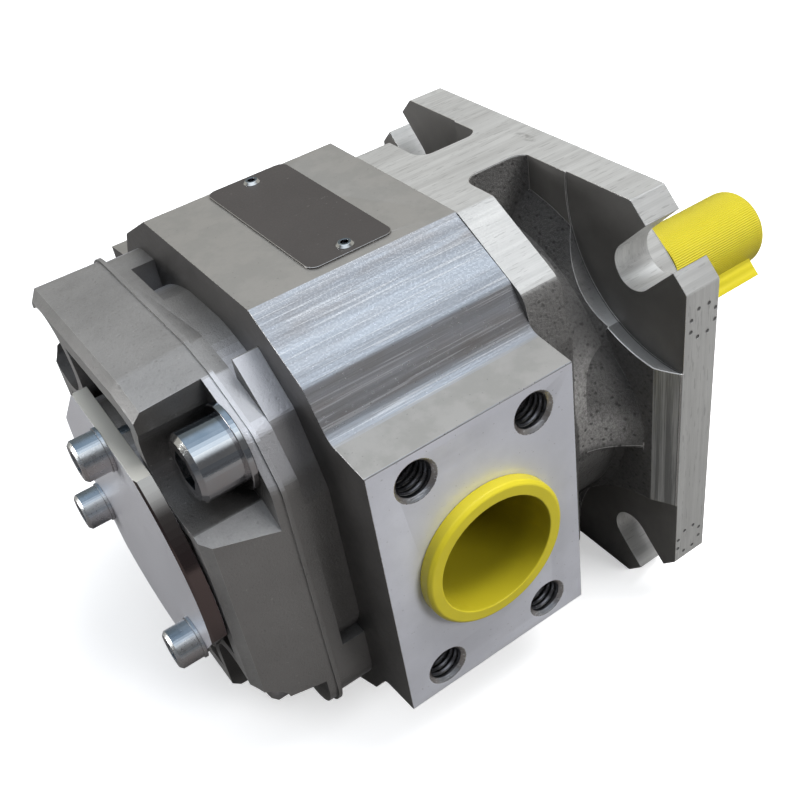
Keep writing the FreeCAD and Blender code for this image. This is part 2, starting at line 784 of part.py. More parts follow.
def crescent(inner, outer, start, end):
    """A piece of the crescent between two circles, cut off at two angles about the shaft."""
    x_from = gear_rear + disc_float
    x_to = gear_front - disc_float
    piece = rod(outer[0], x_from, x_to, outer[1]).cut(rod(inner[0], x_from, x_to, inner[1]))
    far = 3 * ring_gear_radius
    middle = (start + end) / 2
    wedge = [(0, 0, 0), (*polar(far, start), 0), (*polar(far, middle), 0), (*polar(far, end), 0)]
    return piece.common(prism(wedge, x_from, x_to))


def segment_circles():
    pinion_tip = module * pinion_teeth / 2 + pinion_addendum * module + segment_gap
    ring_tip = module * ring_teeth / 2 - ring_addendum * module - segment_gap
    middle = (pinion_tip + ring_tip) / 2
    return (pinion_tip, 0.0), (middle, gear_y / 2), (ring_tip, gear_y)


def roller_places():
    radius, offset = segment_circles()[1]
    places = []
    for angle in roller_angles:
        across = offset * math.sin(math.radians(angle))
        reach = offset * math.cos(math.radians(angle)) + math.sqrt(radius ** 2 - across ** 2)
        places.append(polar(reach, angle))
    return places


def roller_rods(extra):
    return [rod(roller_radius + extra, gear_rear + disc_float, gear_front - disc_float, y, z)
            for y, z in roller_places()]


def make_segment_carrier():
    inner, middle, _ = segment_circles()
    outer = (middle[0] - segment_gap / 2, middle[1])
    piece = crescent(inner, outer, segment_start, segment_end)
    return without(piece, roller_rods(segment_gap))


def make_segment():
    _, middle, outer = segment_circles()
    inner = (middle[0] + segment_gap / 2, middle[1])
    piece = crescent(inner, outer, segment_start, segment_end)
    piece = piece.cut(segment_spring_band(segment_gap))
    return without(piece, roller_rods(segment_gap))


def segment_spring_band(extra):
    """A thin bent strip between the two segment halves."""
    middle_radius, middle_y = segment_circles()[1]
    low = middle_radius + segment_gap / 2
    inner = (low, middle_y)
    outer = (low + spring_thickness + extra, middle_y)
    centre = (roller_angles[0] + roller_angles[1]) / 2
    half = spring_arc / 2 + math.degrees(extra / middle_radius)
    return crescent(inner, outer, centre - half, centre + half)


def make_shaft_seal():
    """A lip seal: a cased ring with a lip that bears on the shaft's land."""
    front = pilot_height - seal_setback
    rear = front - seal_width
    lip = seal_land_radius + running_clearance
    case = seal_pocket_radius - seal_wall
    neck = (lip + case) / 2
    profile = [(front, neck), (front, seal_pocket_radius), (rear, seal_pocket_radius)]
    profile += [(rear, case), (front - seal_wall, case), (front - seal_wall, neck)]
    profile += [(rear + 1, lip + 1), (rear + 2, lip), (front - 3, lip + 1)]
    return revolved(profile)


def make_seal_circlip():
    x = pilot_height - seal_setback
    outer = seal_pocket_radius + circlip_depth
    ring = tube(outer, outer - circlip_width, x, x + circlip_thickness)
    far = 2 * outer
    half = circlip_gap_angle / 2
    gap = prism([(0, 0, 0), (*polar(far, -half), 0), (*polar(far, half), 0)], x, x + circlip_thickness)
    return ring.cut(about_shaft(gap, 90))


def rivet_places():
    return [plate_centre_y + s * rivet_pitch / 2 for s in (-1, 1)]


def make_nameplate():
    half_x = plate_width / 2
    half_y = plate_length / 2
    corners = [(plate_centre_x + sx * half_x, plate_centre_y + sy * half_y, plate_corner)
               for sx, sy in ((-1, -1), (1, -1), (1, 1), (-1, 1))]
    wire = rounded_wire(corners, lambda p: Vector(p.x, p.y, half_height))
    plate = Part.Face(wire).extrude(Vector(0, 0, plate_thickness))
    holes = [Part.makeCylinder(rivet_radius, 2, Vector(plate_centre_x, y, half_height - 1))
             for y in rivet_places()]
    return without(plate, holes)


def make_nameplate_rivets():
    """Hollow rivets, each with a domed head, a shank and a bore."""
    rivets = []
    top = half_height + plate_thickness
    for y in rivet_places():
        head = Part.makeCone(rivet_head_radius, 0.7 * rivet_head_radius, rivet_head_height,
                             Vector(plate_centre_x, y, top))
        shank = Part.makeCylinder(rivet_radius, rivet_length - 0.5 + plate_thickness,
                                  Vector(plate_centre_x, y, half_height - rivet_length + 0.5))
        bore = Part.makeCylinder(rivet_bore_radius, rivet_length, Vector(plate_centre_x, y, top - 2))
        rivets.append(head.fuse(shank).cut(bore))
    return rivets


def make_shaft_cap():
    """A push-on cap over the shaft end, with a rib that clears the key."""
    inside = shaft_radius + loose_clearance
    end = shaft_end_x + cap_end_gap
    outer = rod(inside + cap_wall, cap_start_x, end + cap_wall)
    rim = [e for e in outer.Edges if abs(e.BoundBox.XMin - end - cap_wall) < 1e-3
           and abs(e.BoundBox.XMax - end - cap_wall) < 1e-3]
    outer = outer.makeFillet(cap_round, rim)
    key_top = shaft_radius - key_depth + key_height + cap_key_room
    half = key_width / 2 + loose_clearance
    rib_end = shaft_end_x - key_setback + loose_clearance + cap_wall
    rib = block(cap_start_x, rib_end, 0, key_top + cap_wall, -half - cap_wall, half + cap_wall)
    hollow = rod(inside, cap_start_x - 1, end)
    room = block(cap_start_x - 1, rib_end - cap_wall, 0, key_top, -half, half)
    cap = outer.fuse(about_shaft(rib, key_angle))
    return cap.cut(hollow).cut(about_shaft(room, key_angle))


def make_plug(face_y, inward, bore):
    """A cup that stops a port, with a lip that lies on the port face."""
    outer = bore - plug_fit
    inner = outer - plug_wall
    lip = outer + plug_lip_width
    depth = plug_depth
    points = [(-plug_lip_height + 0.8, lip), (-plug_lip_height, lip - 0.8), (-plug_lip_height, inner),
              (depth - plug_wall, inner), (depth - plug_wall, 0), (depth, 0), (depth, outer), (0, outer),
              (0, lip)]
    vectors = [Vector(housing_mid + r, face_y + inward * a, 0) for a, r in points]
    face = Part.Face(Part.makePolygon(vectors + [vectors[0]]))
    return face.revolve(Vector(housing_mid, face_y, 0), Vector(0, 1, 0), 360)


cover_bolt_sizes = (bolt_radius, bolt_head_radius, bolt_head_height, bolt_length, bolt_hex, bolt_hex_depth)
end_screw_sizes = (end_screw_radius, end_screw_head_radius, end_screw_head_height,
                   end_screw_grip + end_plate_thickness + end_washer_thickness, end_screw_hex,
                   end_screw_hex_depth)
plate_rear = plate_seat - end_plate_thickness
screw_seat = plate_rear - end_washer_thickness
gland_section = (2 - math.sqrt(2)) * gland_depth - 0.02
gland_middle = gland_section / 2 + 0.01
gland_radius = bore_radius + (2 - math.sqrt(2)) * gland_depth / 2

parts = {
    "front_cover": [make_front_cover()],
    "gear_housing": [make_gear_housing()],
    "rear_cover": [make_rear_cover()],
    "end_plate": [make_end_plate()],
    "end_plate_screws": [socket_screw(p, screw_seat, end_screw_sizes) for p in end_screw_places()],
    "end_plate_washers": [tube(end_washer_radius, end_screw_radius + seat_gap, screw_seat, plate_rear, y, z)
                          for y, z in end_screw_places()],
    "cover_bolts": [socket_screw(p, bolt_seat - washer_thickness, cover_bolt_sizes) for p in bolt_places],
    "cover_bolt_washers": [tube(washer_radius, bolt_radius + seat_gap, bolt_seat - washer_thickness,
                                bolt_seat, y, z) for y, z in bolt_places],
    "front_bush": [tube(bush_radius, journal_radius + running_clearance, housing_front,
                        housing_front + front_bush_length)],
    "rear_bush": [tube(bush_radius, journal_radius + running_clearance, housing_rear,
                       housing_rear - rear_bush_length)],
    "front_axial_disc": [make_axial_disc(housing_front, gear_front)],
    "rear_axial_disc": [make_axial_disc(housing_rear, gear_rear)],
    "front_field_seal": [field_seal_shape(housing_front, housing_front + field_seal_depth, seat_gap)],
    "rear_field_seal": [field_seal_shape(housing_rear, housing_rear - field_seal_depth, seat_gap)],
    "segment_carrier": [make_segment_carrier()],
    "segment": [make_segment()],
    "sealing_rollers": roller_rods(0),
    "segment_spring": [segment_spring_band(0)],
    "stop_pin": [rod(stop_pin_radius, housing_front + stop_pin_reach, housing_rear - stop_pin_reach,
                     *stop_pin_place())],
    "shaft_seal": [make_shaft_seal()],
    "seal_circlip": [make_seal_circlip()],
    "front_housing_ring": [ring_seal(gland_radius, gland_section, housing_front - gland_middle, gear_y)],
    "rear_housing_ring": [ring_seal(gland_radius, gland_section, housing_rear + gland_middle, gear_y)],
    "end_plate_ring": [ring_seal(spigot_radius - 0.7, 1.6, plate_seat + spigot_length / 2)],
    "locating_pins": [rod(dowel_radius, x - dowel_length / 2, x + dowel_length / 2, y, z)
                      for x in (housing_front, housing_rear) for y, z in dowel_places()],
    "nameplate": [make_nameplate()],
    "nameplate_rivets": make_nameplate_rivets(),
    "pinion_shaft": [make_pinion_shaft()],
    "shaft_key": [key_blank(key_width, shaft_radius - key_depth, shaft_radius - key_depth + key_height)],
    "ring_gear": [make_ring_gear()],
    "shaft_cap": [make_shaft_cap()],
    "suction_plug": [make_plug(suction_y, 1, suction_bore_radius)],
    "pressure_plug": [make_plug(pressure_y, -1, pressure_bore_radius)],
}

os.makedirs("parts", exist_ok=True)
for name, solids in parts.items():
    shape = solids[0] if len(solids) == 1 else Part.makeCompound(solids)
    shape.exportStep("parts/" + name + ".step")
    print(name, len(shape.Solids), round(shape.Volume), shape.isValid())
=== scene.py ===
import math

import bmesh
import bpy
import numpy as np
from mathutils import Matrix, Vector


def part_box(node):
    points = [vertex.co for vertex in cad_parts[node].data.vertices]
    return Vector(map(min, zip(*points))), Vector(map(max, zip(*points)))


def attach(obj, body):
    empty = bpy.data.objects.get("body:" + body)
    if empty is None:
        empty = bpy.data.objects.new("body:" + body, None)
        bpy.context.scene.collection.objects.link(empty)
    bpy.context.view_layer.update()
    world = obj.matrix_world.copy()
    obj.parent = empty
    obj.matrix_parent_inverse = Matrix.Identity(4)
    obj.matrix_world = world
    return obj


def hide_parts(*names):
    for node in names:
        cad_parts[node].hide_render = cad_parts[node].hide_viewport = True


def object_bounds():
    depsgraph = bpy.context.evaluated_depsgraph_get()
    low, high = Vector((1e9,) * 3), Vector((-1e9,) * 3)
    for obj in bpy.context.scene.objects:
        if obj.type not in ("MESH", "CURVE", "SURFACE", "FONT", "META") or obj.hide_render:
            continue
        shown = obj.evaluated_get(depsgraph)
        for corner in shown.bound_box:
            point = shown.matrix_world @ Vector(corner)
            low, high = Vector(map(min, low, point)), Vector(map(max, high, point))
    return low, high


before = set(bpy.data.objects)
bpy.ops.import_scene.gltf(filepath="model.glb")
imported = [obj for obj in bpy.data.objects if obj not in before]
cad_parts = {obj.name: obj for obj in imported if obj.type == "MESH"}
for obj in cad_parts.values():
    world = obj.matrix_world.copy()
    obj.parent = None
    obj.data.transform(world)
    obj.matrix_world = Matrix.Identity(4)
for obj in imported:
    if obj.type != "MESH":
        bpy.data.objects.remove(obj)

bl_info = {
    "name": "Internal gear pump finishes",
    "version": (1, 0, 0),
    "blender": (4, 5, 0),
    "location": "3D View > Sidebar > Pump",
    "description": "Edges, threads, ribs and metal finishes for a flange-mounted internal gear pump",
    "category": "Object",
}

MM = 0.001
cad_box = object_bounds()

housing_low, housing_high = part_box("gear_housing")
end_low, end_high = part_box("end_plate")
bolt_low, bolt_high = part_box("cover_bolts")
suction_low, suction_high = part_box("suction_plug")
flange_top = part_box("front_cover")[1].z
rear_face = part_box("rear_cover")[0].x
port_x = (suction_low.x + suction_high.x) / 2
gear_axis_y = (housing_low.y + housing_high.y) / 2
housing_half = (housing_high.y - housing_low.y) / 2
end_plate_y = (end_low.y + end_high.y) / 2
bolt_reach_y = (bolt_high.y - bolt_low.y) / 2

# Places on the front cover: X from the mounting face, Y and Z from the shaft's axis

plate_back = -10.0 * MM
seat_x = -10.2 * MM
flare_start = -17.0 * MM
shoulder_front = -28.0 * MM
parting_z = -4.0 * MM
slope_start = 45.75 * MM

# Painted light on the neck's sides, a paler patch: where it starts and ends along Z, and where it starts
# along Y

painted_light_low = -2.5 * MM
painted_light_high = 19.5 * MM
painted_light_near = 34.0 * MM

# Near and far edge of the slanted strips between the spot faces, each as a place along Y and X

strip_near = (51.5 * MM, -13.2 * MM)
strip_far = (57.4 * MM, -10.4 * MM)

# Neck ribs: where they start and turn flat along X, their corner along Y at that turn, and how far they flare

rib_start = -28.3 * MM
rib_turn = -13.9 * MM
rib_corner = 36.0 * MM
rib_flare = 7.8 * MM

# Marks on the flange's edge: rings of dots by their place along X and Z, and the smudge along X and Y

ring_places = ((-4.5 * MM, 32.6 * MM), (-5.5 * MM, -35.3 * MM))
ring_radius = 4.0 * MM
smudge_place = (-4.7 * MM, 0.0)
smudge_reach = (1.6 * MM, 4.6 * MM)

# Bolt pockets of the rear cover, in painted shade: how far they reach from the bolt's middle, and the depth
# of their floors

pocket_reach = 16.0 * MM
pocket_depth = 5.5 * MM

# Copies of CAD nodes: points nearer than the gap are merged, and faces flatter than the angle are joined

weld_gap = 1e-6
flat_angle = math.radians(0.4)


def measure(name, description, default, unit="LENGTH"):
    return bpy.props.FloatProperty(name=name, description=description, default=default, unit=unit)


def spacing(name, description, default):
    return bpy.props.FloatVectorProperty(name=name, description=description, default=default, size=2,
                                         unit="LENGTH")


def colour(name, description, default, highest=1.0):
    return bpy.props.FloatVectorProperty(name=name, description=description, default=default, size=3,
                                         subtype="COLOR", min=0, max=highest)


class PumpStage(bpy.types.PropertyGroup):
    """Camera, floor and lights."""

    camera_place: bpy.props.FloatVectorProperty(
        name="Camera place", description="Where the camera stands", size=3,
        default=(-0.15241, -0.18649, 0.16992), subtype="TRANSLATION", unit="LENGTH")
    camera_turn: bpy.props.FloatVectorProperty(
        name="Camera turn", description="How the camera is turned about X, Y and Z", size=3,
        default=(math.radians(50.115), math.radians(7.544), math.radians(-35.158)), subtype="EULER")
    lens: bpy.props.FloatProperty(
        name="Lens", description="Focal length for a 36 mm wide sensor", default=47.42, min=10, unit="CAMERA")
    shift: bpy.props.FloatVectorProperty(
        name="Shift", description="How far the frame lies off the lens axis, as a share of its width",
        size=2, default=(-0.01025, 0.02888))
    floor_colour: colour("Floor", "Colour of the floor", (0.90, 0.90, 0.90))
    floor_in_metal: colour("Floor in the metal", "Colour of the floor where the metal mirrors it",
                           (0.16, 0.155, 0.15))
    floor_glow: bpy.props.FloatProperty(
        name="Floor glow", description="Light that lifts the floor to paper white", default=0.45, min=0)
    floor_size: measure("Floor size", "Half the width of the floor", 6.0)
    top_power: measure("Top light", "Power of the large light overhead", 9.0, "POWER")
    side_power: measure("Side light", "Power of the light beside the flange", 4.5, "POWER")
    back_power: measure("Back light", "Power of the light behind the rear cover", 2.0, "POWER")
    surround: bpy.props.FloatProperty(
        name="Surround", description="Brightness of the room", default=1.0, min=0)
    zenith: colour("Ceiling", "Colour of the room overhead", (0.86, 0.92, 1.0), 2.0)
    far_wall: colour("Far wall", "Colour of the room beyond the pump", (0.36, 0.35, 0.325), 2.0)
    near_wall: colour("Near wall", "Colour of the room behind the camera", (0.09, 0.09, 0.095), 2.0)
    backdrop: colour("Backdrop", "Colour that shows beyond the floor", (0.86, 0.87, 0.88), 2.0)


class PumpShapes(bpy.types.PropertyGroup):
    """Sizes of the details that the finishes add."""

    machined_edge: measure("Machined edge", "Width of the broken edge on machined parts", 0.30 * MM)
    cast_edge: measure("Cast edge", "Width of the rounded edge on castings", 0.8 * MM)
    moulded_edge: measure("Moulded edge", "Width of the rounded edge on moulded plugs", 0.35 * MM)
    edge_angle: bpy.props.FloatProperty(
        name="Edge angle", description="Edges sharper than this are rounded",
        default=math.radians(28), subtype="ANGLE")
    thread_pitch: measure("Thread pitch", "Pitch of the threads in the port faces", 1.5 * MM)
    thread_core: measure("Thread core", "Radius of the tapped holes' walls", 4.25 * MM)
    thread_height: measure("Thread height", "How far a crest stands into the hole", 0.32 * MM)
    thread_depth: measure("Thread depth", "Depth of the threads in the port faces", 15 * MM)
    suction_pitch: spacing("Suction pattern", "Spacing of the suction port's threads along X and Z",
                           (30.2 * MM, 58.7 * MM))
    pressure_pitch: spacing("Pressure pattern", "Spacing of the pressure port's threads along X and Z",
                            (26.2 * MM, 52.4 * MM))
    spot_radius: measure("Spot face", "Radius of the flange's spot faces", 34.0 * MM)
    spot_offset: measure("Spot face place", "How far a spot face's centre lies from the shaft along Y and Z",
                        54.5 * MM)
    neck_radius: measure("Neck radius", "Radius of the neck between flange and shoulder", 42.0 * MM)
    rib_height: measure("Rib height", "Height of the neck's side ribs along Z", 44.0 * MM)
    bolt_head: measure("Bolt head", "Radius of the cover bolts' heads", 8.0 * MM)
    cap_ribs: bpy.props.IntProperty(
        name="Cap ribs", description="Number of fine ribs round the shaft cap", default=110, min=8)
    cap_rib_height: measure("Cap rib height", "Height of the cap's ribs", 0.22 * MM)


class PumpFinishes(bpy.types.PropertyGroup):
    """Colours of the finishes."""

    cast: colour("Casting", "Skin of the front cover's casting", (0.115, 0.112, 0.108))
    machined: colour("Machined aluminium", "Cut faces of the front cover", (0.61, 0.61, 0.595))
    port_face: colour("Port faces", "Milled faces round the ports", (0.73, 0.74, 0.80))
    extruded: colour("Extruded aluminium", "Drawn faces of the housing", (0.50, 0.51, 0.53))
    die_cast: colour("Die casting", "Skin of the rear cover", (0.34, 0.335, 0.33))
    steel: colour("Steel", "Ground and turned steel", (0.62, 0.62, 0.655))
    zinc: colour("Zinc", "Bright zinc plating", (0.68, 0.75, 0.81))
    plate: colour("Nameplate", "Dark film of the bare nameplate", (0.060, 0.055, 0.053))
    yellow: colour("Plugs", "Yellow polyethylene of plugs and cap", (0.60, 0.51, 0.025))
    bronze: colour("Bronze", "Bearings and axial discs", (0.50, 0.33, 0.15))
    rubber: colour("Rubber", "Seals", (0.02, 0.02, 0.022))


class Tree:
    """A node tree with short calls for adding and joining nodes."""

    def __init__(self, tree):
        self.tree = tree

    def add(self, kind, settings=None, **inputs):
        node = self.tree.nodes.new(kind)
        for key, value in (settings or {}).items():
            setattr(node, key, value)
        for key, value in inputs.items():
            self.feed(node.inputs[key.replace("_", " ")], value)
        return node

    def feed(self, socket, value):
        if isinstance(value, bpy.types.NodeSocket):
            self.tree.links.new(value, socket)
        else:
            socket.default_value = value

    def math(self, operation, *values):
        node = self.add("ShaderNodeMath", {"operation": operation})
        for socket, value in zip(node.inputs, values):
            self.feed(socket, value)
        return node.outputs[0]

    def fold(self, operation, values):
        total = values[0]
        for value in values[1:]:
            total = self.math(operation, total, value)
        return total

    def times(self, *values):
        return self.fold("MULTIPLY", values)

    def plus(self, *values):
        return self.fold("ADD", values)

    def most(self, *values):
        return self.fold("MAXIMUM", values)

    def minus(self, a, b):
        return self.math("SUBTRACT", a, b)

    def size(self, value):
        return self.math("ABSOLUTE", value)

    def reach(self, a, b):
        """The distance over two ways at right angles: the root of both squares added up."""
        return self.math("SQRT", self.plus(self.times(a, a), self.times(b, b)))

    def ramp(self, value, low, high, to_low=0.0, to_high=1.0):
        """A value carried smoothly from one range to another and held at both ends."""
        node = self.add("ShaderNodeMapRange", {"interpolation_type": "SMOOTHSTEP"})
        for key, number in zip(("Value", "From Min", "From Max", "To Min", "To Max"),
                               (value, low, high, to_low, to_high)):
            self.feed(node.inputs[key], number)
        return node.outputs[0]

    def step(self, value, place, soft):
        """0 before a place and 1 past it, with a change that reaches soft to either side."""
        return self.ramp(value, place - soft, place + soft)

    def drop(self, value, place, soft):
        """1 before a place and 0 past it, with a change that reaches soft to either side."""
        return self.ramp(value, place - soft, place + soft, 1.0, 0.0)

    def mix(self, factor, a, b, blend="MIX"):
        node = self.add("ShaderNodeMix", {"data_type": "RGBA", "blend_type": blend})
        self.feed(node.inputs[0], factor)
        for socket, value in ((node.inputs[6], a), (node.inputs[7], b)):
            self.feed(socket, value if isinstance(value, bpy.types.NodeSocket) else (*value, 1.0))
        return node.outputs[2]

    def blend(self, factor, a, b):
        node = self.add("ShaderNodeMix", {"data_type": "FLOAT"})
        self.feed(node.inputs[0], factor)
        self.feed(node.inputs[2], a)
        self.feed(node.inputs[3], b)
        return node.outputs[0]

    def axes(self, vector):
        return self.add("ShaderNodeSeparateXYZ", Vector=vector).outputs

    def noise(self, place, scale, detail, roughness):
        return self.add("ShaderNodeTexNoise", Vector=place, Scale=scale, Detail=detail,
                        Roughness=roughness).outputs[0]


# Node groups that several finishes share


def make_group(name, inputs, outputs):
    """An empty group with a vector and float inputs and float outputs, and its two end nodes."""
    group = bpy.data.node_groups.new(name, "ShaderNodeTree")
    group.interface.new_socket(name="Vector", in_out="INPUT", socket_type="NodeSocketVector")
    for key, default in inputs.items():
        socket = group.interface.new_socket(name=key, in_out="INPUT", socket_type="NodeSocketFloat")
        socket.default_value = default
    for key in outputs:
        group.interface.new_socket(name=key, in_out="OUTPUT", socket_type="NodeSocketFloat")
    tree = Tree(group)
    return group, tree, tree.add("NodeGroupInput").outputs, tree.add("NodeGroupOutput").inputs


def drawn_out(tree, given):
    """The place with X pressed together by Stretch, so that a noise on it is drawn out along X."""
    x, y, z = tree.axes(given["Vector"])
    along = tree.math("DIVIDE", x, given["Stretch"])
    return tree.add("ShaderNodeCombineXYZ", X=along, Y=y, Z=z).outputs[0]


def streak_group():
    """Lines drawn along X: a fine noise and a broad one on the drawn-out place."""
    group, tree, given, out = make_group("Drawn lines", {"Scale": 900.0, "Stretch": 60.0}, ["Height", "Tone"])
    place = drawn_out(tree, given)
    fine = tree.noise(place, given["Scale"], 3.0, 0.65)
    broad = tree.noise(place, tree.times(given["Scale"], 0.17), 2.0, 0.5)
    tree.feed(out["Height"], fine)
    tree.feed(out["Tone"], tree.blend(0.6, fine, broad))
    return group


def grain_group():
    """A cast skin: fine noise for sand grain with round pits from cell distances."""
    group, tree, given, out = make_group("Cast grain", {"Scale": 1400.0, "Pits": 0.3}, ["Height", "Tone"])
    fine = tree.noise(given["Vector"], given["Scale"], 5.0, 0.7)
    cells = tree.add("ShaderNodeTexVoronoi", Vector=given["Vector"], Scale=tree.times(given["Scale"], 0.45))
    pits = tree.ramp(cells.outputs["Distance"], 0.05, 0.35, given["Pits"], 0.0)
    tree.feed(out["Height"], tree.minus(fine, pits))
    tree.feed(out["Tone"], tree.noise(given["Vector"], tree.times(given["Scale"], 0.02), 4.0, 0.6))
    return group


def blotch_group():
    """Soft stains: noise pushed towards its two ends by Contrast."""
    group, tree, given, out = make_group("Blotches", {"Scale": 60.0, "Contrast": 0.15}, ["Mask"])
    noise = tree.noise(given["Vector"], given["Scale"], 5.0, 0.6)
    low, high = tree.minus(0.5, given["Contrast"]), tree.plus(0.5, given["Contrast"])
    tree.feed(out["Mask"], tree.ramp(noise, low, high))
    return group


def mark_group():
    """Short marks along X: the few peaks above Level of a noise on the drawn-out place."""
    inputs = {"Scale": 900.0, "Stretch": 1.0, "Level": 0.68}
    group, tree, given, out = make_group("Short marks", inputs, ["Mask"])
    noise = tree.noise(drawn_out(tree, given), given["Scale"], 1.0, 0.5)
    tree.feed(out["Mask"], tree.ramp(noise, given["Level"], tree.plus(given["Level"], 0.04)))
    return group


def peening_group():
    """Eight punched dots on a ring in the XZ plane: the angle is folded into one sector of 45 degrees, and a
    dot is where the folded place lies near the ring."""
    group, tree, given, out = make_group("Punched ring", {"Centre X": 0.0, "Centre Z": 0.0}, ["Mask"])
    place = tree.axes(given["Vector"])
    x, z = tree.minus(place[0], given["Centre X"]), tree.minus(place[2], given["Centre Z"])
    sector = math.radians(45)
    folded = tree.minus(tree.math("FLOORED_MODULO", tree.math("ARCTAN2", z, x), sector), sector / 2)
    reach = tree.reach(x, z)
    along = tree.minus(tree.times(reach, tree.math("COSINE", folded)), ring_radius)
    across = tree.times(reach, tree.math("SINE", folded))
    tree.feed(out["Mask"], tree.drop(tree.reach(along, across), 0.45 * MM, 0.15 * MM))
    return group


def smudge_group():
    """A dull mark on the flange's top: noise kept inside a small ellipse in the XY plane."""
    group, tree, given, out = make_group("Smudge", {}, ["Mask"])
    place = tree.axes(given["Vector"])
    x, y = (tree.math("DIVIDE", tree.minus(place[k], smudge_place[k]), smudge_reach[k]) for k in (0, 1))
    noise = tree.noise(given["Vector"], 420.0, 4.0, 0.7)
    tree.feed(out["Mask"], tree.times(tree.drop(tree.reach(x, y), 0.7, 0.4), tree.step(noise, 0.51, 0.11)))
    return group


# Finishes


shared = {}
finishes = {}


def shade(colour, share):
    """A colour made darker or lighter."""
    return [share * part for part in colour]


class Finish(Tree):
    """A material with a Principled shader, its object coordinates and a bump chain."""

    def __init__(self, name, metallic, roughness, colour):
        self.material = bpy.data.materials.new(name)
        self.material.use_nodes = True
        super().__init__(self.material.node_tree)
        self.shader = self.tree.nodes["Principled BSDF"]
        self.set(Metallic=metallic, Roughness=roughness, Base_Color=(*colour, 1.0))
        self.place = self.add("ShaderNodeTexCoord").outputs["Object"]
        self.x, self.y, self.z = self.axes(self.place)
        facing = self.add("ShaderNodeAttribute", {"attribute_name": "facing"}).outputs["Vector"]
        self.facing_x, self.facing_y, self.facing_z = self.axes(facing)
        self.surface = None

    def set(self, **sockets):
        for key, value in sockets.items():
            self.feed(self.shader.inputs[key.replace("_", " ")], value)

    def bump(self, height, depth, strength=1.0):
        """Raises the surface by a height map, over the bumps added before."""
        node = self.add("ShaderNodeBump", Strength=strength, Distance=depth, Height=height)
        if self.surface is not None:
            self.feed(node.inputs["Normal"], self.surface)
        self.surface = node.outputs[0]
        self.feed(self.shader.inputs["Normal"], self.surface)

    def grained(self, scale, pits, depth, low, high):
        """A fine grain that lifts the surface and carries its roughness from low to high."""
        fine = self.grain(scale, pits)
        self.set(Roughness=self.ramp(fine, 0.3, 0.7, low, high))
        self.bump(fine, depth, 0.5)

    def group(self, name, place=None, **inputs):
        """The outputs of a shared group, laid on the object's own coordinates unless told otherwise."""
        node = self.add("ShaderNodeGroup", {"node_tree": shared[name]}, Vector=place or self.place, **inputs)
        return node.outputs

    def grain(self, scale, pits):
        return self.group("grain", Scale=scale, Pits=pits)["Height"]

    def stain(self, scale, contrast):
        return self.group("blotches", Scale=scale, Contrast=contrast)["Mask"]

    def marks(self, scale, stretch, level, place=None):
        return self.group("marks", place, Scale=scale, Stretch=stretch, Level=level)["Mask"]

    def rings(self, y, scale):
        """Rings turned about an axis along X: noise on the distance from it."""
        away = self.reach(y, self.z)
        node = self.add("ShaderNodeTexNoise", {"noise_dimensions": "1D"}, W=away, Scale=scale, Detail=3.0)
        return node.outputs[0]

    def facing(self, component, share=0.8):
        """1 where the surface faces along an axis, either way."""
        return self.ramp(self.size(component), share - 0.08, share)


def spot_rim(f, shapes):
    """1 beside the rims of the four spot faces."""
    across = f.minus(f.size(f.y), shapes.spot_offset)
    tall = f.minus(f.size(f.z), shapes.spot_offset)
    gap = f.size(f.minus(f.reach(across, tall), shapes.spot_radius))
    return f.times(f.drop(gap, 0.7 * MM, 0.2 * MM), f.step(f.x, flare_start, 2.0 * MM))


def rough_cast(f, height, cast):
    """The colour of the front cover's cast skin, darker in its hollows."""
    return f.mix(f.step(height, 0.45, 0.30), shade(cast, 0.95), shade(cast, 1.95))


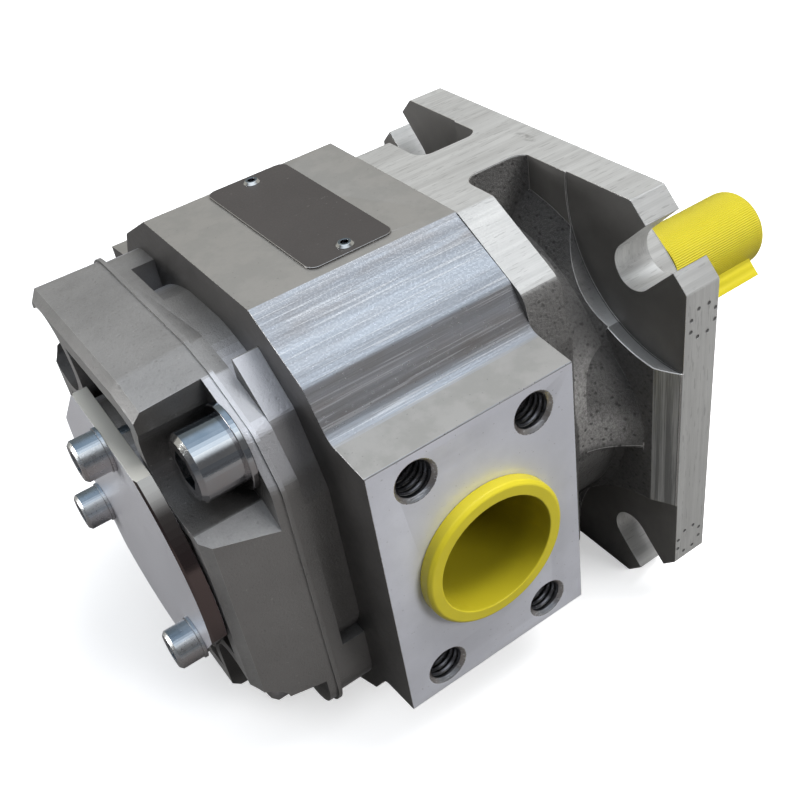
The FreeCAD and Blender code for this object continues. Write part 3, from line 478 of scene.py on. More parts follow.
def cast_front(colours, shapes):
    """Grainy casting with cut faces: lines along X, turned rings on the mounting face, and lines along Z
    on the flange's sides and on the slanted strips beside them."""
    f = Finish("Machined casting", 0.6, 0.45, colours.machined)
    cast, machined = colours.cast, colours.machined
    wide, tall = f.size(f.y), f.size(f.z)
    strip = f.times(f.step(wide, strip_near[0], 0.3 * MM), f.drop(f.x, plate_back - 0.45 * MM, 0.15 * MM),
                    f.step(f.x, flare_start + 0.5 * MM, 0.5 * MM), f.step(f.size(f.facing_y), 0.35, 0.05))
    turned = f.add("ShaderNodeCombineXYZ", X=f.z, Y=f.x, Z=f.y).outputs[0]
    way = f.add("ShaderNodeMix", {"data_type": "VECTOR"})
    f.feed(way.inputs[0], f.most(f.facing(f.facing_y, 0.9), strip))
    f.feed(way.inputs[4], f.place)
    f.feed(way.inputs[5], turned)
    way = way.outputs[1]

    skin = f.group("grain", Scale=1250.0, Pits=0.35)
    lines = f.group("streaks", way, Scale=3400.0, Stretch=45.0)
    nicks = f.marks(2200.0, stretch=9.0, level=0.64, place=way)
    stain = f.stain(70.0, contrast=0.2)
    smudge = f.group("smudge")["Mask"]
    rings = f.rings(f.y, 1900.0)

    top = f.step(tall, flange_top - 0.25 * MM, 0.1 * MM)
    slope = f.times(f.step(tall, slope_start, 0.75 * MM), f.step(f.size(f.facing_z), 0.65, 0.10))
    plate = f.step(f.x, plate_back - 0.125 * MM, 0.075 * MM)
    level = f.minus(1.0, f.facing(f.facing_x, 0.9))
    front = f.times(f.step(f.x, -0.45 * MM, 0.15 * MM), f.facing(f.facing_x, 0.9))
    cut = f.most(f.times(f.most(top, slope, plate), level), strip, front)
    seat = f.times(f.drop(f.size(f.minus(f.x, seat_x)), 0.25 * MM, 0.03 * MM), f.facing(f.facing_x))

    tone = f.step(f.blend(front, lines["Tone"], rings), 0.50, 0.20)
    bright = f.mix(tone, shade(machined, 0.86), shade(machined, 1.12))
    bright = f.mix(f.times(stain, 0.22), bright, shade(machined, 0.72))
    bright = f.mix(f.times(nicks, 0.35), bright, shade(machined, 0.45))
    combed = f.mix(f.step(lines["Tone"], 0.50, 0.10), shade(machined, 0.42), shade(machined, 0.95))
    bright = f.mix(strip, bright, combed)
    bright = f.mix(f.times(smudge, top, 0.6), bright, (0.16, 0.155, 0.15))

    dark = rough_cast(f, skin["Height"], cast)
    dark = f.mix(f.times(f.step(skin["Tone"], 0.50, 0.15), 0.3), dark, shade(cast, 0.8))
    # Painted light: a paler patch on the neck's sides, above the parting line
    neck_side = f.times(f.step(f.x, shoulder_front + 0.45 * MM, 0.35 * MM),
                        f.drop(f.x, flare_start - 0.25 * MM, 2.75 * MM))
    pale = f.times(f.step(f.z, painted_light_low, 1.5 * MM), f.drop(f.z, painted_light_high, 7.5 * MM), neck_side,
                   f.step(wide, painted_light_near, 4.0 * MM), 0.85)
    dark = f.mix(pale, dark, f.mix(f.ramp(skin["Height"], 0.15, 0.70), shade(cast, 1.3), shade(cast, 4.6)))
    rim = f.times(spot_rim(f, shapes), f.drop(f.x, plate_back - 0.4 * MM, 0.1 * MM),
                  f.ramp(tall, 21.5 * MM, 33.0 * MM, 1.0, 0.12), f.drop(f.size(f.facing_x), 0.5, 0.1))
    dark = f.mix(rim, dark, (0.85, 0.85, 0.84))
    # Painted shade: the skin darker on faces that look down, in front of the shoulder
    painted_underside_shade = f.times(f.drop(f.facing_z, -0.20, 0.12), f.step(f.x, shoulder_front + 0.75 * MM, 0.25 * MM), 0.62)
    dark = f.mix(painted_underside_shade, dark, shade(cast, 0.45))
    smooth = f.mix(stain, shade(cast, 2.6), shade(cast, 3.1))

    dots = [f.group("peening", Centre_X=x, Centre_Z=z)["Mask"] for x, z in ring_places]
    dents = f.times(f.most(*dots), f.facing(f.facing_y, 0.9))
    metal = f.mix(cut, f.mix(seat, dark, smooth), bright)
    f.set(Base_Color=f.mix(f.times(dents, 0.8), metal, (0.05, 0.05, 0.05)))
    f.set(Metallic=f.blend(seat, f.blend(cut, 0.45, 0.62), 0.80))
    rough = f.blend(cut, f.ramp(skin["Height"], 0.2, 0.8, 0.52, 0.68), f.blend(tone, 0.34, 0.44))
    f.set(Roughness=f.blend(seat, rough, 0.36))
    f.bump(f.times(skin["Height"], f.minus(1.0, f.most(cut, seat))), 0.45 * MM)
    f.bump(f.times(f.blend(front, lines["Height"], rings), cut), 0.03 * MM, 0.6)
    f.bump(f.minus(1.0, dents), 0.5 * MM)
    return f.material


def cover_edge(colours, shapes):
    """Bright where a cut face ends, rough between cast faces, with a pale parting line round the neck."""
    f = Finish("Front cover edge", 1.0, 0.24, (0.80, 0.79, 0.77))
    skin = f.grain(1250.0, pits=0.35)
    plate = f.step(f.x, plate_back - 0.6 * MM, 0.1 * MM)
    top = f.step(f.size(f.z), flange_top - 1.7 * MM, 0.3 * MM)
    shoulder = f.drop(f.x, shoulder_front + 0.25 * MM, 0.15 * MM)
    rim = spot_rim(f, shapes)
    cut = f.most(plate, top, shoulder, rim)
    parting = f.drop(f.size(f.minus(f.z, parting_z)), 1.5 * MM, 0.5 * MM)
    parting = f.times(parting, f.step(skin, 0.40, 0.15), 0.8)
    dark = f.mix(parting, rough_cast(f, skin, colours.cast), (0.62, 0.61, 0.60))
    f.set(Base_Color=f.mix(cut, dark, (0.85, 0.84, 0.82)))
    f.set(Metallic=f.blend(cut, 0.45, f.blend(rim, 1.0, 0.55)), Roughness=f.blend(cut, 0.60, 0.26))
    f.bump(skin, 0.10 * MM, 0.6)
    return f.material


def extruded(colours):
    """Drawn lines, hairs and painted glints on the lengthwise faces, and milled grain on the cut ones."""
    f = Finish("Extruded aluminium", 0.9, 0.38, colours.extruded)
    pale = colours.port_face
    lines = f.group("streaks", Scale=2100.0, Stretch=70.0)
    wide = f.group("streaks", Scale=230.0, Stretch=5.0)
    milled = f.grain(500.0, pits=0.1)
    stain = f.stain(150.0, contrast=0.12)
    cloud = f.stain(34.0, contrast=0.18)
    specks = f.marks(1500.0, stretch=1.2, level=0.72)
    hairs = f.marks(2000.0, stretch=60.0, level=0.60)
    glints = f.marks(2000.0, stretch=1.4, level=0.68)
    tall = f.size(f.facing_z)
    top = f.step(tall, 0.98, 0.01)
    port = f.facing(f.facing_y, 0.97)
    end = f.facing(f.facing_x, 0.97)
    cut = f.most(top, port, end)
    rest = f.minus(1.0, cut)
    slope = f.step(tall, 0.57, 0.09)
    fine = f.step(lines["Tone"], 0.50, 0.14)
    # Random tone with painted light: patches of bluish painted reflection on the slopes, and of dark brown
    # painted shade in the valley
    tint_and_painted_reflection = f.mix(f.step(wide["Tone"], 0.50, 0.12), (0.46, 0.445, 0.44), (0.52, 0.56, 0.61))
    valley_tone_and_painted_shade = f.mix(f.step(wide["Tone"], 0.52, 0.14), (0.36, 0.325, 0.305), (0.50, 0.50, 0.52))
    contrast = f.mix(fine, (0.84, 0.83, 0.83), (1.18, 1.18, 1.18))
    drawn = f.mix(1.0, f.mix(slope, valley_tone_and_painted_shade, tint_and_painted_reflection), contrast, "MULTIPLY")
    drawn = f.mix(f.times(hairs, 0.5), drawn, (0.86, 0.87, 0.88))
    # Painted glints: pale specks on the steeper drawn faces
    drawn = f.mix(f.times(f.minus(1.0, slope), glints, 0.7), drawn, (0.85, 0.86, 0.90))
    flat = f.mix(f.times(stain, 0.5), (0.45, 0.44, 0.415), (0.545, 0.53, 0.505))
    face = f.mix(cloud, shade(pale, 1.06), shade(pale, 0.92))
    face = f.mix(f.times(stain, 0.25), face, shade(pale, 0.86))
    # Painted shade: the end faces nearly black
    face = f.mix(end, f.mix(port, flat, face), (0.145, 0.14, 0.137))
    f.set(Base_Color=f.mix(f.times(specks, cut, 0.35), f.mix(cut, drawn, face), (0.20, 0.19, 0.18)))
    f.set(Metallic=f.blend(port, f.blend(top, 0.88, 0.8), 0.5))
    drawn_rough = f.minus(f.blend(fine, 0.42, 0.33), f.times(glints, 0.14))
    f.set(Roughness=f.blend(cut, drawn_rough, f.blend(stain, 0.50, 0.42)))
    f.bump(f.times(lines["Height"], rest), 0.07 * MM, 0.9)
    f.bump(f.times(wide["Height"], rest), 0.16 * MM, 0.25)
    f.bump(f.times(hairs, rest), 0.02 * MM, 0.5)
    f.bump(f.times(milled, cut), 0.04 * MM, 0.6)
    return f.material


def bolt_pocket(f, shapes):
    """1 in the bolt pockets, which get painted shade: on faces near a bolt that look towards it, and on the
    pockets' floors.
    """
    aside = f.minus(f.y, gear_axis_y)
    out_y = f.minus(f.size(aside), bolt_reach_y - shapes.bolt_head)
    out_z = f.minus(f.size(f.z), bolt_high.z - shapes.bolt_head)
    away = f.plus(f.times(out_y, f.facing_y, f.math("SIGN", aside)),
                  f.times(out_z, f.facing_z, f.math("SIGN", f.z)))
    inward = f.drop(away, -6.0 * MM, 1.0 * MM)
    bottom = f.times(f.facing(f.facing_x, 0.9), f.step(f.x, rear_face + pocket_depth, 1.5 * MM))
    return f.times(f.most(inward, bottom), f.drop(f.reach(out_y, out_z), pocket_reach, 3.0 * MM))


def die_cast(colours, shapes, name, painted_light_lift):
    """A fine cast skin: a painted highlight on the slopes, painted shade on the sides and in the bolt
    pockets.
    """
    f = Finish(name, 0.70, 0.42, colours.die_cast)
    # A lift above 1 makes a lit copy of the skin: a painted highlight
    base = shade(colours.die_cast, painted_light_lift)
    skin = f.grain(1700.0, pits=0.25)
    lines = f.group("streaks", Scale=420.0, Stretch=7.0)["Tone"]
    stain = f.stain(45.0, contrast=0.2)
    nicks = f.marks(1100.0, stretch=1.2, level=0.74)
    slope = f.times(f.step(f.size(f.facing_z), 0.35, 0.10), f.step(f.size(f.facing_y), 0.35, 0.10),
                    f.step(f.size(f.z), 28.0 * MM, 2.0 * MM))
    tone = f.plus(f.times(lines, 0.45), f.times(stain, 0.2), f.times(skin, 0.42))
    metal = f.mix(f.step(tone, 0.50, 0.25), shade(base, 0.84), shade(base, 1.20))
    # Painted highlight: a pale bluish colour on the slopes
    metal = f.mix(f.times(slope, 0.75), metal, shade((0.90, 0.91, 0.96), painted_light_lift))
    # Painted shade on the faces that look along Y
    metal = f.mix(f.times(f.facing(f.facing_y, 0.85), 0.6), metal, shade((0.27, 0.255, 0.245), painted_light_lift))
    # Painted shade in the bolt pockets
    metal = f.mix(f.times(bolt_pocket(f, shapes), 0.75), metal, (0.06, 0.058, 0.055))
    f.set(Base_Color=f.mix(f.times(nicks, 0.25), metal, (0.62, 0.60, 0.58)))
    f.set(Roughness=f.ramp(skin, 0.2, 0.8, 0.36, 0.5))
    f.bump(skin, 0.15 * MM, 0.9)
    f.bump(lines, 0.06 * MM, 0.2)
    return f.material


def bright_edge():
    """A broken edge on cut metal, slightly grained."""
    f = Finish("Bright edge", 1.0, 0.22, (0.72, 0.71, 0.70))
    f.grained(1800.0, 0.2, 0.05 * MM, low=0.18, high=0.36)
    return f.material


def turned_steel(colours):
    """Turned rings on the end plate's faces, and a painted reflection round its rim: dark brown, paler above
    and below.
    """
    f = Finish("Turned steel", 1.0, 0.25, colours.steel)
    rings = f.rings(f.minus(f.y, end_plate_y), 2600.0)
    stain = f.stain(35.0, contrast=0.3)
    face = f.facing(f.facing_x)
    flat = f.ramp(f.facing_z, 0.97, 0.985)
    turned = f.mix(rings, shade(colours.steel, 1.44), shade(colours.steel, 1.58))
    # Painted reflection round the rim: dark brown, paler on faces that look up or down
    rim = f.mix(f.ramp(f.facing_z, 0.40, 0.85), (0.19, 0.145, 0.14), (0.50, 0.48, 0.44))
    rim = f.mix(f.ramp(f.facing_z, -0.65, -0.30, 1.0, 0.0), rim, (0.40, 0.39, 0.38))
    f.set(Base_Color=f.mix(face, f.mix(flat, rim, (0.58, 0.57, 0.52)), turned))
    f.set(Metallic=f.blend(f.most(face, flat), 1.0, 0.45))
    f.set(Roughness=f.blend(face, f.blend(flat, 0.12, 0.45), f.blend(stain, 0.38, 0.30)))
    f.bump(f.times(rings, face), 0.02 * MM, 0.5)
    return f.material


def zinc(colours, name, rough, depth):
    """Bluish zinc plating with painted reflections: pinkish below, near white on the upper side, dark blue
    along the very top.
    """
    f = Finish(name, 1.0, rough, colours.zinc)
    stain = f.stain(120.0, contrast=0.25)
    # Painted reflection bands by facing: dark blue along the top, near white below it, pinkish on the sides
    # and below
    upper = f.times(f.ramp(f.facing_z, 0.84, 0.95), f.drop(f.size(f.facing_x), 0.3, 0.1))
    pale = f.times(f.step(f.facing_z, 0.49, 0.07), f.drop(f.facing_z, 0.80, 0.06))
    tint_and_painted_reflection = f.mix(f.step(f.facing_z, 0.30, 0.20), (0.54, 0.50, 0.50), colours.zinc)
    tint_and_painted_reflection = f.mix(pale, f.mix(upper, tint_and_painted_reflection, (0.20, 0.27, 0.34)), (0.97, 0.98, 0.96))
    f.set(Base_Color=f.mix(f.times(stain, 0.4), tint_and_painted_reflection, shade(colours.zinc, 0.8)))
    f.grained(2200.0, 0.3, depth, low=rough, high=rough + 0.12)
    return f.material


def nameplate(colours):
    """A dark satin film with stains and a few small marks."""
    f = Finish("Dark plate film", 0.35, 0.42, colours.plate)
    marks = f.marks(1600.0, stretch=2.0, level=0.74)
    stain = f.stain(50.0, contrast=0.3)
    film = f.mix(f.times(stain, 0.4), colours.plate, shade(colours.plate, 1.5))
    f.set(Base_Color=f.mix(f.times(marks, 0.4), film, (0.22, 0.21, 0.20)))
    f.grained(2500.0, 0.1, 0.02 * MM, low=0.38, high=0.50)
    return f.material


def yellow(colours, shapes, name, ribbed):
    """Moulded plastic. The cap has fine ribs: a sine of the angle about the shaft, with painted shade in
    their grooves. A plug has painted shade inside, deeper with the depth below the port's face."""
    f = Finish(name, 0.0, 0.38, colours.yellow)
    # The cap takes a slightly shaded copy of the plugs' yellow: painted shade
    base = shade(colours.yellow, 0.92 if ribbed else 1.0)
    fine = f.grain(900.0, pits=0.1)
    stain = f.stain(80.0, contrast=0.3)
    plastic = f.mix(stain, base, shade(base, 0.90))
    f.set(Roughness=f.ramp(fine, 0.3, 0.7, 0.30, 0.42))
    if ribbed:
        ribs = f.math("SINE", f.times(f.math("ARCTAN2", f.z, f.y), float(shapes.cap_ribs)))
        round_side = f.drop(f.size(f.facing_x), 0.6, 0.1)
        # Painted shade in the grooves between the ribs
        plastic = f.mix(f.times(f.ramp(ribs, -0.2, 0.9), round_side, 0.20), plastic, shade(base, 0.62))
        f.bump(f.times(ribs, round_side, -0.5), shapes.cap_rib_height, 0.8)
    else:
        outward = f.plus(f.times(f.facing_x, f.minus(f.x, port_x)), f.times(f.facing_z, f.z))
        hollow = f.drop(outward, -1.25 * MM, 0.75 * MM)
        depth = f.minus(housing_half, f.size(f.minus(f.y, gear_axis_y)))
        floor = f.times(f.facing(f.facing_y, 0.9), f.step(depth, 1.5 * MM, 0.5 * MM))
        # Painted shade inside the plug's cup, deeper further below the port's face
        shadow = f.times(f.most(hollow, floor), f.ramp(depth, 0.0, 7.0 * MM, 0.35, 0.85))
        plastic = f.mix(shadow, plastic, shade(base, 0.42))
    f.set(Base_Color=plastic)
    f.bump(fine, 0.03 * MM, 0.5)
    return f.material


def plain(name, metallic, roughness, colour, scale, depth):
    """One colour with soft stains and a fine grain."""
    f = Finish(name, metallic, roughness, colour)
    f.set(Base_Color=f.mix(f.stain(60.0, contrast=0.3), colour, shade(colour, 0.8)))
    f.grained(scale, 0.15, depth, low=roughness, high=roughness + 0.12)
    return f.material


def make_finishes(colours, shapes):
    """All the shared groups and all the finishes by name."""
    shared.update(streaks=streak_group(), grain=grain_group(), blotches=blotch_group(), marks=mark_group(),
                  peening=peening_group(), smudge=smudge_group())
    finishes.update(
        cast_front=cast_front(colours, shapes),
        extruded=extruded(colours),
        cover_edge=cover_edge(colours, shapes),
        die_cast=die_cast(colours, shapes, "Die-cast aluminium", 1.0),
        # The rear cover's rounded edges take a lit copy of its skin: a painted highlight
        die_cast_edge=die_cast(colours, shapes, "Die-cast highlight edge", 1.55),
        bright_edge=bright_edge(),
        steel=turned_steel(colours),
        bright_zinc=zinc(colours, "Bright zinc", 0.07, 0.01 * MM),
        dull_zinc=zinc(colours, "Dull zinc", 0.26, 0.06 * MM),
        nameplate=nameplate(colours),
        yellow=yellow(colours, shapes, "Yellow polyethylene", False),
        ribbed_yellow=yellow(colours, shapes, "Ribbed yellow polyethylene", True),
        tapped=plain("Tapped hole", 1.0, 0.26, (0.34, 0.34, 0.355), 1500.0, 0.02 * MM),
        ground=plain("Ground steel", 1.0, 0.22, (0.46, 0.46, 0.48), 1800.0, 0.003 * MM),
        bronze=plain("Bearing bronze", 1.0, 0.30, colours.bronze, 1500.0, 0.03 * MM),
        rubber=plain("Nitrile rubber", 0.0, 0.55, colours.rubber, 1200.0, 0.03 * MM),
        seal_case=plain("Seal case", 0.0, 0.50, (0.075, 0.045, 0.03), 1200.0, 0.03 * MM))


def finish(name):
    """A finish by name, all of them made at the first call."""
    if not finishes:
        make_finishes(bpy.context.scene.pump_finishes, bpy.context.scene.pump_shapes)
    return finishes[name]


# Pieces


def placed(name, data):
    """A new object in the scene."""
    thing = bpy.data.objects.new(name, data)
    bpy.context.scene.collection.objects.link(thing)
    return thing


def mark_facing(mesh):
    """Keeps each face's direction as an attribute that the finishes read."""
    directions = np.empty(len(mesh.polygons) * 3, np.float32)
    mesh.polygons.foreach_get("normal", directions)
    mesh.attributes.new("facing", "FLOAT_VECTOR", "FACE").data.foreach_set("vector", directions)


def round_edges(piece, width, segments=2):
    """Rounds the sharp edges and gives them the piece's second finish."""
    angle = bpy.context.scene.pump_shapes.edge_angle
    piece.data.set_sharp_from_angle(angle=angle)
    bevel = piece.modifiers.new("Rounded edges", "BEVEL")
    bevel.width = width
    bevel.segments = segments
    bevel.limit_method = "ANGLE"
    bevel.angle_limit = angle
    bevel.material = 1
    return bevel


def softened(node, width, main, edge=None, body="pump_body", segments=2):
    """A merged copy of a CAD node with rounded edges, in one finish for its faces and one for its edges."""
    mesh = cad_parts[node].data.copy()
    mesh.materials.clear()
    shape = bmesh.new()
    shape.from_mesh(mesh)
    bmesh.ops.remove_doubles(shape, verts=shape.verts, dist=weld_gap)
    bmesh.ops.dissolve_limit(shape, angle_limit=flat_angle, verts=shape.verts, edges=shape.edges,
                             use_dissolve_boundaries=False)
    shape.to_mesh(mesh)
    shape.free()
    mark_facing(mesh)
    piece = placed(node + "_dressed", mesh)
    mesh.materials.append(finish(main))
    mesh.materials.append(finish(edge or main))
    mesh.polygons.foreach_set("material_index", np.zeros(len(mesh.polygons), np.int32))
    mesh.shade_smooth()
    round_edges(piece, width, segments).harden_normals = True
    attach(piece, body)
    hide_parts(node)


def paint(node, material):
    """Gives a CAD node its finish and leaves its mesh as it is."""
    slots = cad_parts[node].material_slots
    for slot in slots:
        slot.material = material
    if not slots:
        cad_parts[node].data.materials.append(material)


def grid_mesh(name, blocks, material, around=False, flip=False, capped=False):
    """A mesh from arrays of rows and columns of points, each cell a quad, with both end rows closed if
    asked."""
    rows, columns = blocks[0].shape[:2]
    wide = columns if around else columns - 1
    row, column = np.meshgrid(np.arange(rows - 1), np.arange(wide), indexing="ij")
    following = (column + 1) % columns
    cells = np.stack([row * columns + column, row * columns + following,
                      (row + 1) * columns + following, (row + 1) * columns + column], -1).reshape(-1, 4)
    if flip:
        cells = cells[:, ::-1]
    faces = np.concatenate([cells + k * rows * columns for k in range(len(blocks))]).tolist()
    if capped:
        ring = np.arange(columns)
        faces += [ring[::-1].tolist(), (ring + (rows - 1) * columns).tolist()]
    mesh = bpy.data.meshes.new(name)
    mesh.from_pydata(np.concatenate([block.reshape(-1, 3) for block in blocks]).tolist(), [], faces)
    mesh.materials.append(material)
    mesh.shade_smooth()
    return placed(name, mesh)


class PUMP_OT_stage(bpy.types.Operator):
    """Set camera, floor and lights"""

    bl_idname = "pump.stage"
    bl_label = "Stage"

    def execute(self, context):
        stage = context.scene.pump_stage
        low, high = cad_box
        camera = placed("Camera", bpy.data.cameras.new("Camera"))
        camera.data.sensor_width = 36.0
        camera.data.lens = stage.lens
        camera.data.shift_x, camera.data.shift_y = stage.shift
        camera.data.clip_start = 0.01
        camera.location = stage.camera_place
        camera.rotation_euler = stage.camera_turn
        context.scene.camera = camera
        self.add_floor(stage, low.z)
        centre = (low + high) / 2
        # Each with its power, its size, its place from the pump's middle and whether the metal mirrors it
        lamps = (("Top light", stage.top_power, 0.55, (0.34, -0.16, 0.85), False),
                 ("Side light", stage.side_power, 0.30, (0.25, -0.75, 0.45), False),
                 ("Back light", stage.back_power, 0.30, (-0.75, 0.35, 0.10), True))
        for name, energy, size, offset, mirrored in lamps:
            light = placed(name, bpy.data.lights.new(name, "AREA"))
            light.data.energy = energy
            light.data.size = size
            light.location = centre + Vector(offset)
            light.rotation_euler = (-Vector(offset)).to_track_quat("-Z", "Y").to_euler()
            light.visible_glossy = mirrored
        self.set_surround(context, stage)
        context.scene.view_settings.view_transform = "Standard"
        return {"FINISHED"}

    def add_floor(self, stage, height):
        """A flat grid that is pale to the camera and dim where the metal mirrors it."""
        steps = np.linspace(-stage.floor_size, stage.floor_size, 9)
        across, along = np.meshgrid(steps, steps)
        points = np.stack([across, along, np.full_like(across, height)], -1)
        coat = Finish("Floor", 0.0, 0.75, stage.floor_colour)
        seen = coat.add("ShaderNodeLightPath").outputs["Is Camera Ray"]
        coat.set(Base_Color=coat.mix(seen, stage.floor_in_metal, stage.floor_colour),
                 Emission_Color=(1.0, 1.0, 1.0, 1.0), Emission_Strength=coat.times(seen, stage.floor_glow))
        floor = grid_mesh("floor", [points], coat.material)

    def set_surround(self, context, stage):
        """A room that is bright overhead, warm and dimmer on the far side and dark behind the camera."""
        world = bpy.data.worlds.new("Studio")
        context.scene.world = world
        world.use_nodes = True
        tree = Tree(world.node_tree)
        x, y, z = tree.axes(tree.add("ShaderNodeTexCoord").outputs["Generated"])
        away = tree.plus(tree.times(x, 0.48), tree.times(y, 0.88))
        walls = tree.mix(tree.ramp(away, -0.25, 0.35), stage.near_wall, stage.far_wall)
        room = tree.mix(tree.ramp(z, 0.62, 0.88), walls, stage.zenith)
        seen = tree.add("ShaderNodeLightPath").outputs["Is Camera Ray"]
        back = world.node_tree.nodes["Background"]
        tree.feed(back.inputs["Color"], tree.mix(seen, room, stage.backdrop))
        back.inputs["Strength"].default_value = stage.surround


class PUMP_OT_castings(bpy.types.Operator):
    """Dress the front cover, the housing and the rear cover"""

    bl_idname = "pump.castings"
    bl_label = "Covers and housing"

    def execute(self, context):
        shapes = context.scene.pump_shapes
        softened("front_cover", shapes.machined_edge, "cast_front", "cover_edge")
        softened("gear_housing", shapes.machined_edge, "extruded", "bright_edge")
        softened("rear_cover", shapes.cast_edge, "die_cast", "die_cast_edge",
                 segments=3)
        return {"FINISHED"}


class PUMP_OT_neck_ribs(bpy.types.Operator):
    """Add the flared ribs that join both sides of the neck to the flange"""

    bl_idname = "pump.neck_ribs"
    bl_label = "Neck ribs"

    def execute(self, context):
        shapes = context.scene.pump_shapes
        for name, side in (("near_neck_rib", -1), ("far_neck_rib", 1)):
            piece = grid_mesh(name, [self.rib(shapes, side)], finish("cast_front"), around=True,
                              flip=side > 0, capped=True)
            piece.data.materials.append(finish("cover_edge"))
            mark_facing(piece.data)
            round_edges(piece, 1.8 * shapes.machined_edge)
            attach(piece, "pump_body")
        return {"FINISHED"}

    def rib(self, shapes, side):
        """Sections from the shoulder to the flange's edge. Towards the flange the rib's reach grows with the
        square of the way gone. Its upper half falls back to the neck on an ellipse, its lower half is upright
        and then undercut. Next it turns flat, with both ends on the circles of two spot faces, and its last
        sections are a slanted strip between those circles."""
        half = shapes.rib_height / 2
        way = np.linspace(0, 1, 24)[:, None]
        height = np.linspace(-1, 1, 61)[None, :]
        z = height * half + 0 * way
        reach = shapes.neck_radius - 0.5 * MM + rib_flare * way ** 2
        buried = shapes.neck_radius - 1.0 * MM
        fall = 1 + (reach ** 2 - buried ** 2) / half ** 2
        upper = np.sqrt(np.maximum(reach ** 2 - fall * z ** 2, 0))
        lower = np.maximum(np.sqrt(buried ** 2 - z ** 2), reach + 1.6 * np.minimum(z - parting_z, 0))
        y = np.where(z > 0, upper, lower)
        x = rib_start + (rib_turn - rib_start) * way + 0 * height

        near_y, near_x = strip_near
        turn = np.linspace(0.08, 1, 9)[:, None]
        end_y = rib_corner + (near_y - rib_corner) * turn
        flat_y = reach[-1] + (near_y - reach[-1]) * turn
        flat_y = flat_y - (flat_y - end_y) * np.abs(height) ** (2 + 6 * turn)
        flat_x = near_x - 0.6 * MM * (1 - turn) + 0 * height
        flat_z = height * self.bound(shapes, end_y)

        step = np.linspace(0.2, 1, 5)[:, None]
        strip_y = near_y + (strip_far[0] - near_y) * step + 0 * height
        strip_x = near_x + (strip_far[1] - near_x) * step + 0 * height
        strip_z = height * self.bound(shapes, strip_y)

        parts = ((x, y, z), (flat_x, flat_y, flat_z), (strip_x, strip_y, strip_z))
        points = np.vstack([np.stack([x, side * y, z], -1) for x, y, z in parts])
        feet = points[:, [0, -1]]
        feet[..., 0] = plate_back + 0.3 * MM
        return np.hstack([feet[:, :1], points, feet[:, 1:]])

    def bound(self, shapes, y):
        """Where the circle of a spot face stands along Z at a place along Y."""
        radius = shapes.spot_radius - 0.1 * MM
        return shapes.spot_offset - np.sqrt(radius ** 2 - (y - shapes.spot_offset) ** 2)


class PUMP_OT_end_plate(bpy.types.Operator):
    """Dress the end plate, its screws and its washers"""

    bl_idname = "pump.end_plate"
    bl_label = "End plate"

    def execute(self, context):
        width = context.scene.pump_shapes.machined_edge
        softened("end_plate", width, "steel")
        softened("end_plate_screws", width, "dull_zinc")
        softened("end_plate_washers", 0.5 * width, "dull_zinc")
        return {"FINISHED"}


class PUMP_OT_cover_bolts(bpy.types.Operator):
    """Dress the four long screws and their washers"""

    bl_idname = "pump.cover_bolts"
    bl_label = "Cover bolts"

    def execute(self, context):
        width = context.scene.pump_shapes.machined_edge
        for node in ("cover_bolts", "cover_bolt_washers"):
            softened(node, width, "bright_zinc")
        return {"FINISHED"}


class PUMP_OT_port_threads(bpy.types.Operator):
    """Cut the threads that show in the tapped holes round both ports"""

    bl_idname = "pump.port_threads"
    bl_label = "Port threads"

    def execute(self, context):
        shapes = context.scene.pump_shapes
        faces = (("suction_threads", housing_low.y, 1, shapes.suction_pitch),
                 ("pressure_threads", housing_high.y, -1, shapes.pressure_pitch))
        for name, face_y, inward, pitch in faces:
            holes = [self.thread(shapes, face_y, inward, port_x + sx * pitch[0] / 2, sz * pitch[1] / 2)
                     for sx in (-1, 1) for sz in (-1, 1)]
            piece = grid_mesh(name, holes, finish("tapped"), around=True, flip=inward < 0)
            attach(piece, "pump_body")
        return {"FINISHED"}

    def thread(self, shapes, face_y, inward, x, z):
        """A threaded wall: once in each pitch of depth the radius falls from the root to the crest and back,
        and the wave moves on by one pitch in each turn. Both ends widen into the hole's wall."""
        rows = int(8 * shapes.thread_depth / shapes.thread_pitch)
        depth = np.linspace(0.8 * MM, shapes.thread_depth, rows)[:, None]
        around = np.linspace(0, 2 * math.pi, 48, endpoint=False)[None, :]
        wave = np.abs(2 * np.mod(depth / shapes.thread_pitch - around / (2 * math.pi), 1) - 1)
        crest = np.clip(1.3 * wave - 0.15, 0, 1)
        fade = np.clip(np.minimum(depth - depth[0], depth[-1] - depth) / shapes.thread_pitch, 0, 1)
        gap = 0.02 * MM
        radius = shapes.thread_core + gap - (shapes.thread_height + gap) * crest * fade
        return np.stack([x + radius * np.cos(around), face_y + inward * (depth + 0 * around),
                         z + radius * np.sin(around)], -1)


class PUMP_OT_nameplate(bpy.types.Operator):
    """Dress the bare nameplate and its rivets"""

    bl_idname = "pump.nameplate"
    bl_label = "Nameplate"

    def execute(self, context):
        width = 0.4 * context.scene.pump_shapes.machined_edge
        softened("nameplate", width, "nameplate", "bright_edge")
        softened("nameplate_rivets", width, "bright_zinc")
        return {"FINISHED"}


class PUMP_OT_plugs(bpy.types.Operator):
    """Dress the yellow plugs and the shaft cap"""

    bl_idname = "pump.plugs"
    bl_label = "Plugs and cap"

    def execute(self, context):
        width = context.scene.pump_shapes.moulded_edge
        for node, coat in (("suction_plug", "yellow"), ("pressure_plug", "yellow"),
                           ("shaft_cap", "ribbed_yellow")):
            softened(node, width, coat, body=node)
        return {"FINISHED"}


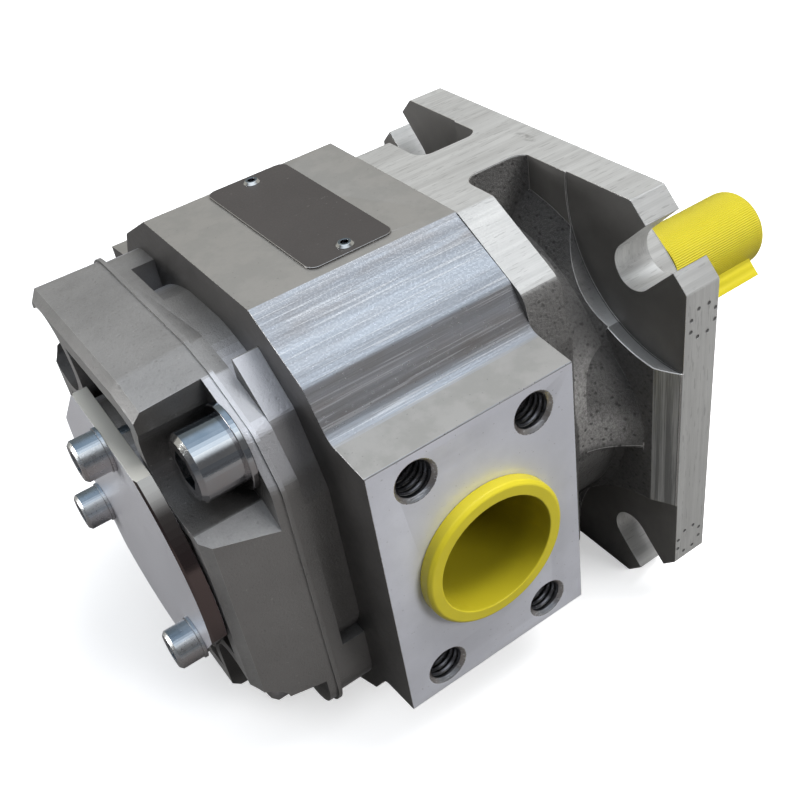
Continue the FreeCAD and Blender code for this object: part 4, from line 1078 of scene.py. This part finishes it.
class PUMP_OT_inner_parts(bpy.types.Operator):
    """Give the parts inside the pump their finishes"""

    bl_idname = "pump.inner_parts"
    bl_label = "Inner parts"

    inner = {
        "ground": ("pinion_shaft", "shaft_key", "ring_gear", "segment_carrier", "segment", "sealing_rollers",
                   "segment_spring", "stop_pin", "seal_circlip", "locating_pins"),
        "bronze": ("front_bush", "rear_bush", "front_axial_disc", "rear_axial_disc"),
        "rubber": ("front_field_seal", "rear_field_seal", "front_housing_ring", "rear_housing_ring",
                   "end_plate_ring"),
        "seal_case": ("shaft_seal",),
    }

    def execute(self, context):
        for name, nodes in self.inner.items():
            for node in nodes:
                paint(node, finish(name))
        return {"FINISHED"}


class PUMP_PT_panel(bpy.types.Panel):
    """Sizes, colours and pieces of the pump's finish"""

    bl_idname = "PUMP_PT_panel"
    bl_label = "Pump"
    bl_space_type = "VIEW_3D"
    bl_region_type = "UI"
    bl_category = "Pump"

    def draw(self, context):
        for settings in (context.scene.pump_stage, context.scene.pump_shapes, context.scene.pump_finishes):
            box = self.layout.box()
            for key in settings.__annotations__:
                box.prop(settings, key)
        for operator in operators:
            self.layout.operator(operator.bl_idname)


operators = (PUMP_OT_stage, PUMP_OT_castings, PUMP_OT_neck_ribs, PUMP_OT_end_plate, PUMP_OT_cover_bolts,
             PUMP_OT_port_threads, PUMP_OT_nameplate, PUMP_OT_plugs, PUMP_OT_inner_parts)
setting_groups = {"pump_stage": PumpStage, "pump_shapes": PumpShapes, "pump_finishes": PumpFinishes}


def register():
    for group in setting_groups.values():
        bpy.utils.register_class(group)
    for key, group in setting_groups.items():
        setattr(bpy.types.Scene, key, bpy.props.PointerProperty(type=group))
    for operator in operators:
        bpy.utils.register_class(operator)
    bpy.utils.register_class(PUMP_PT_panel)


def unregister():
    bpy.utils.unregister_class(PUMP_PT_panel)
    for operator in reversed(operators):
        bpy.utils.unregister_class(operator)
    for key, group in setting_groups.items():
        delattr(bpy.types.Scene, key)
        bpy.utils.unregister_class(group)


def main():
    register()
    for operator in operators:
        family, name = operator.bl_idname.split(".")
        getattr(getattr(bpy.ops, family), name)()
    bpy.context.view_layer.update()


if __name__ == "__main__":
    main()
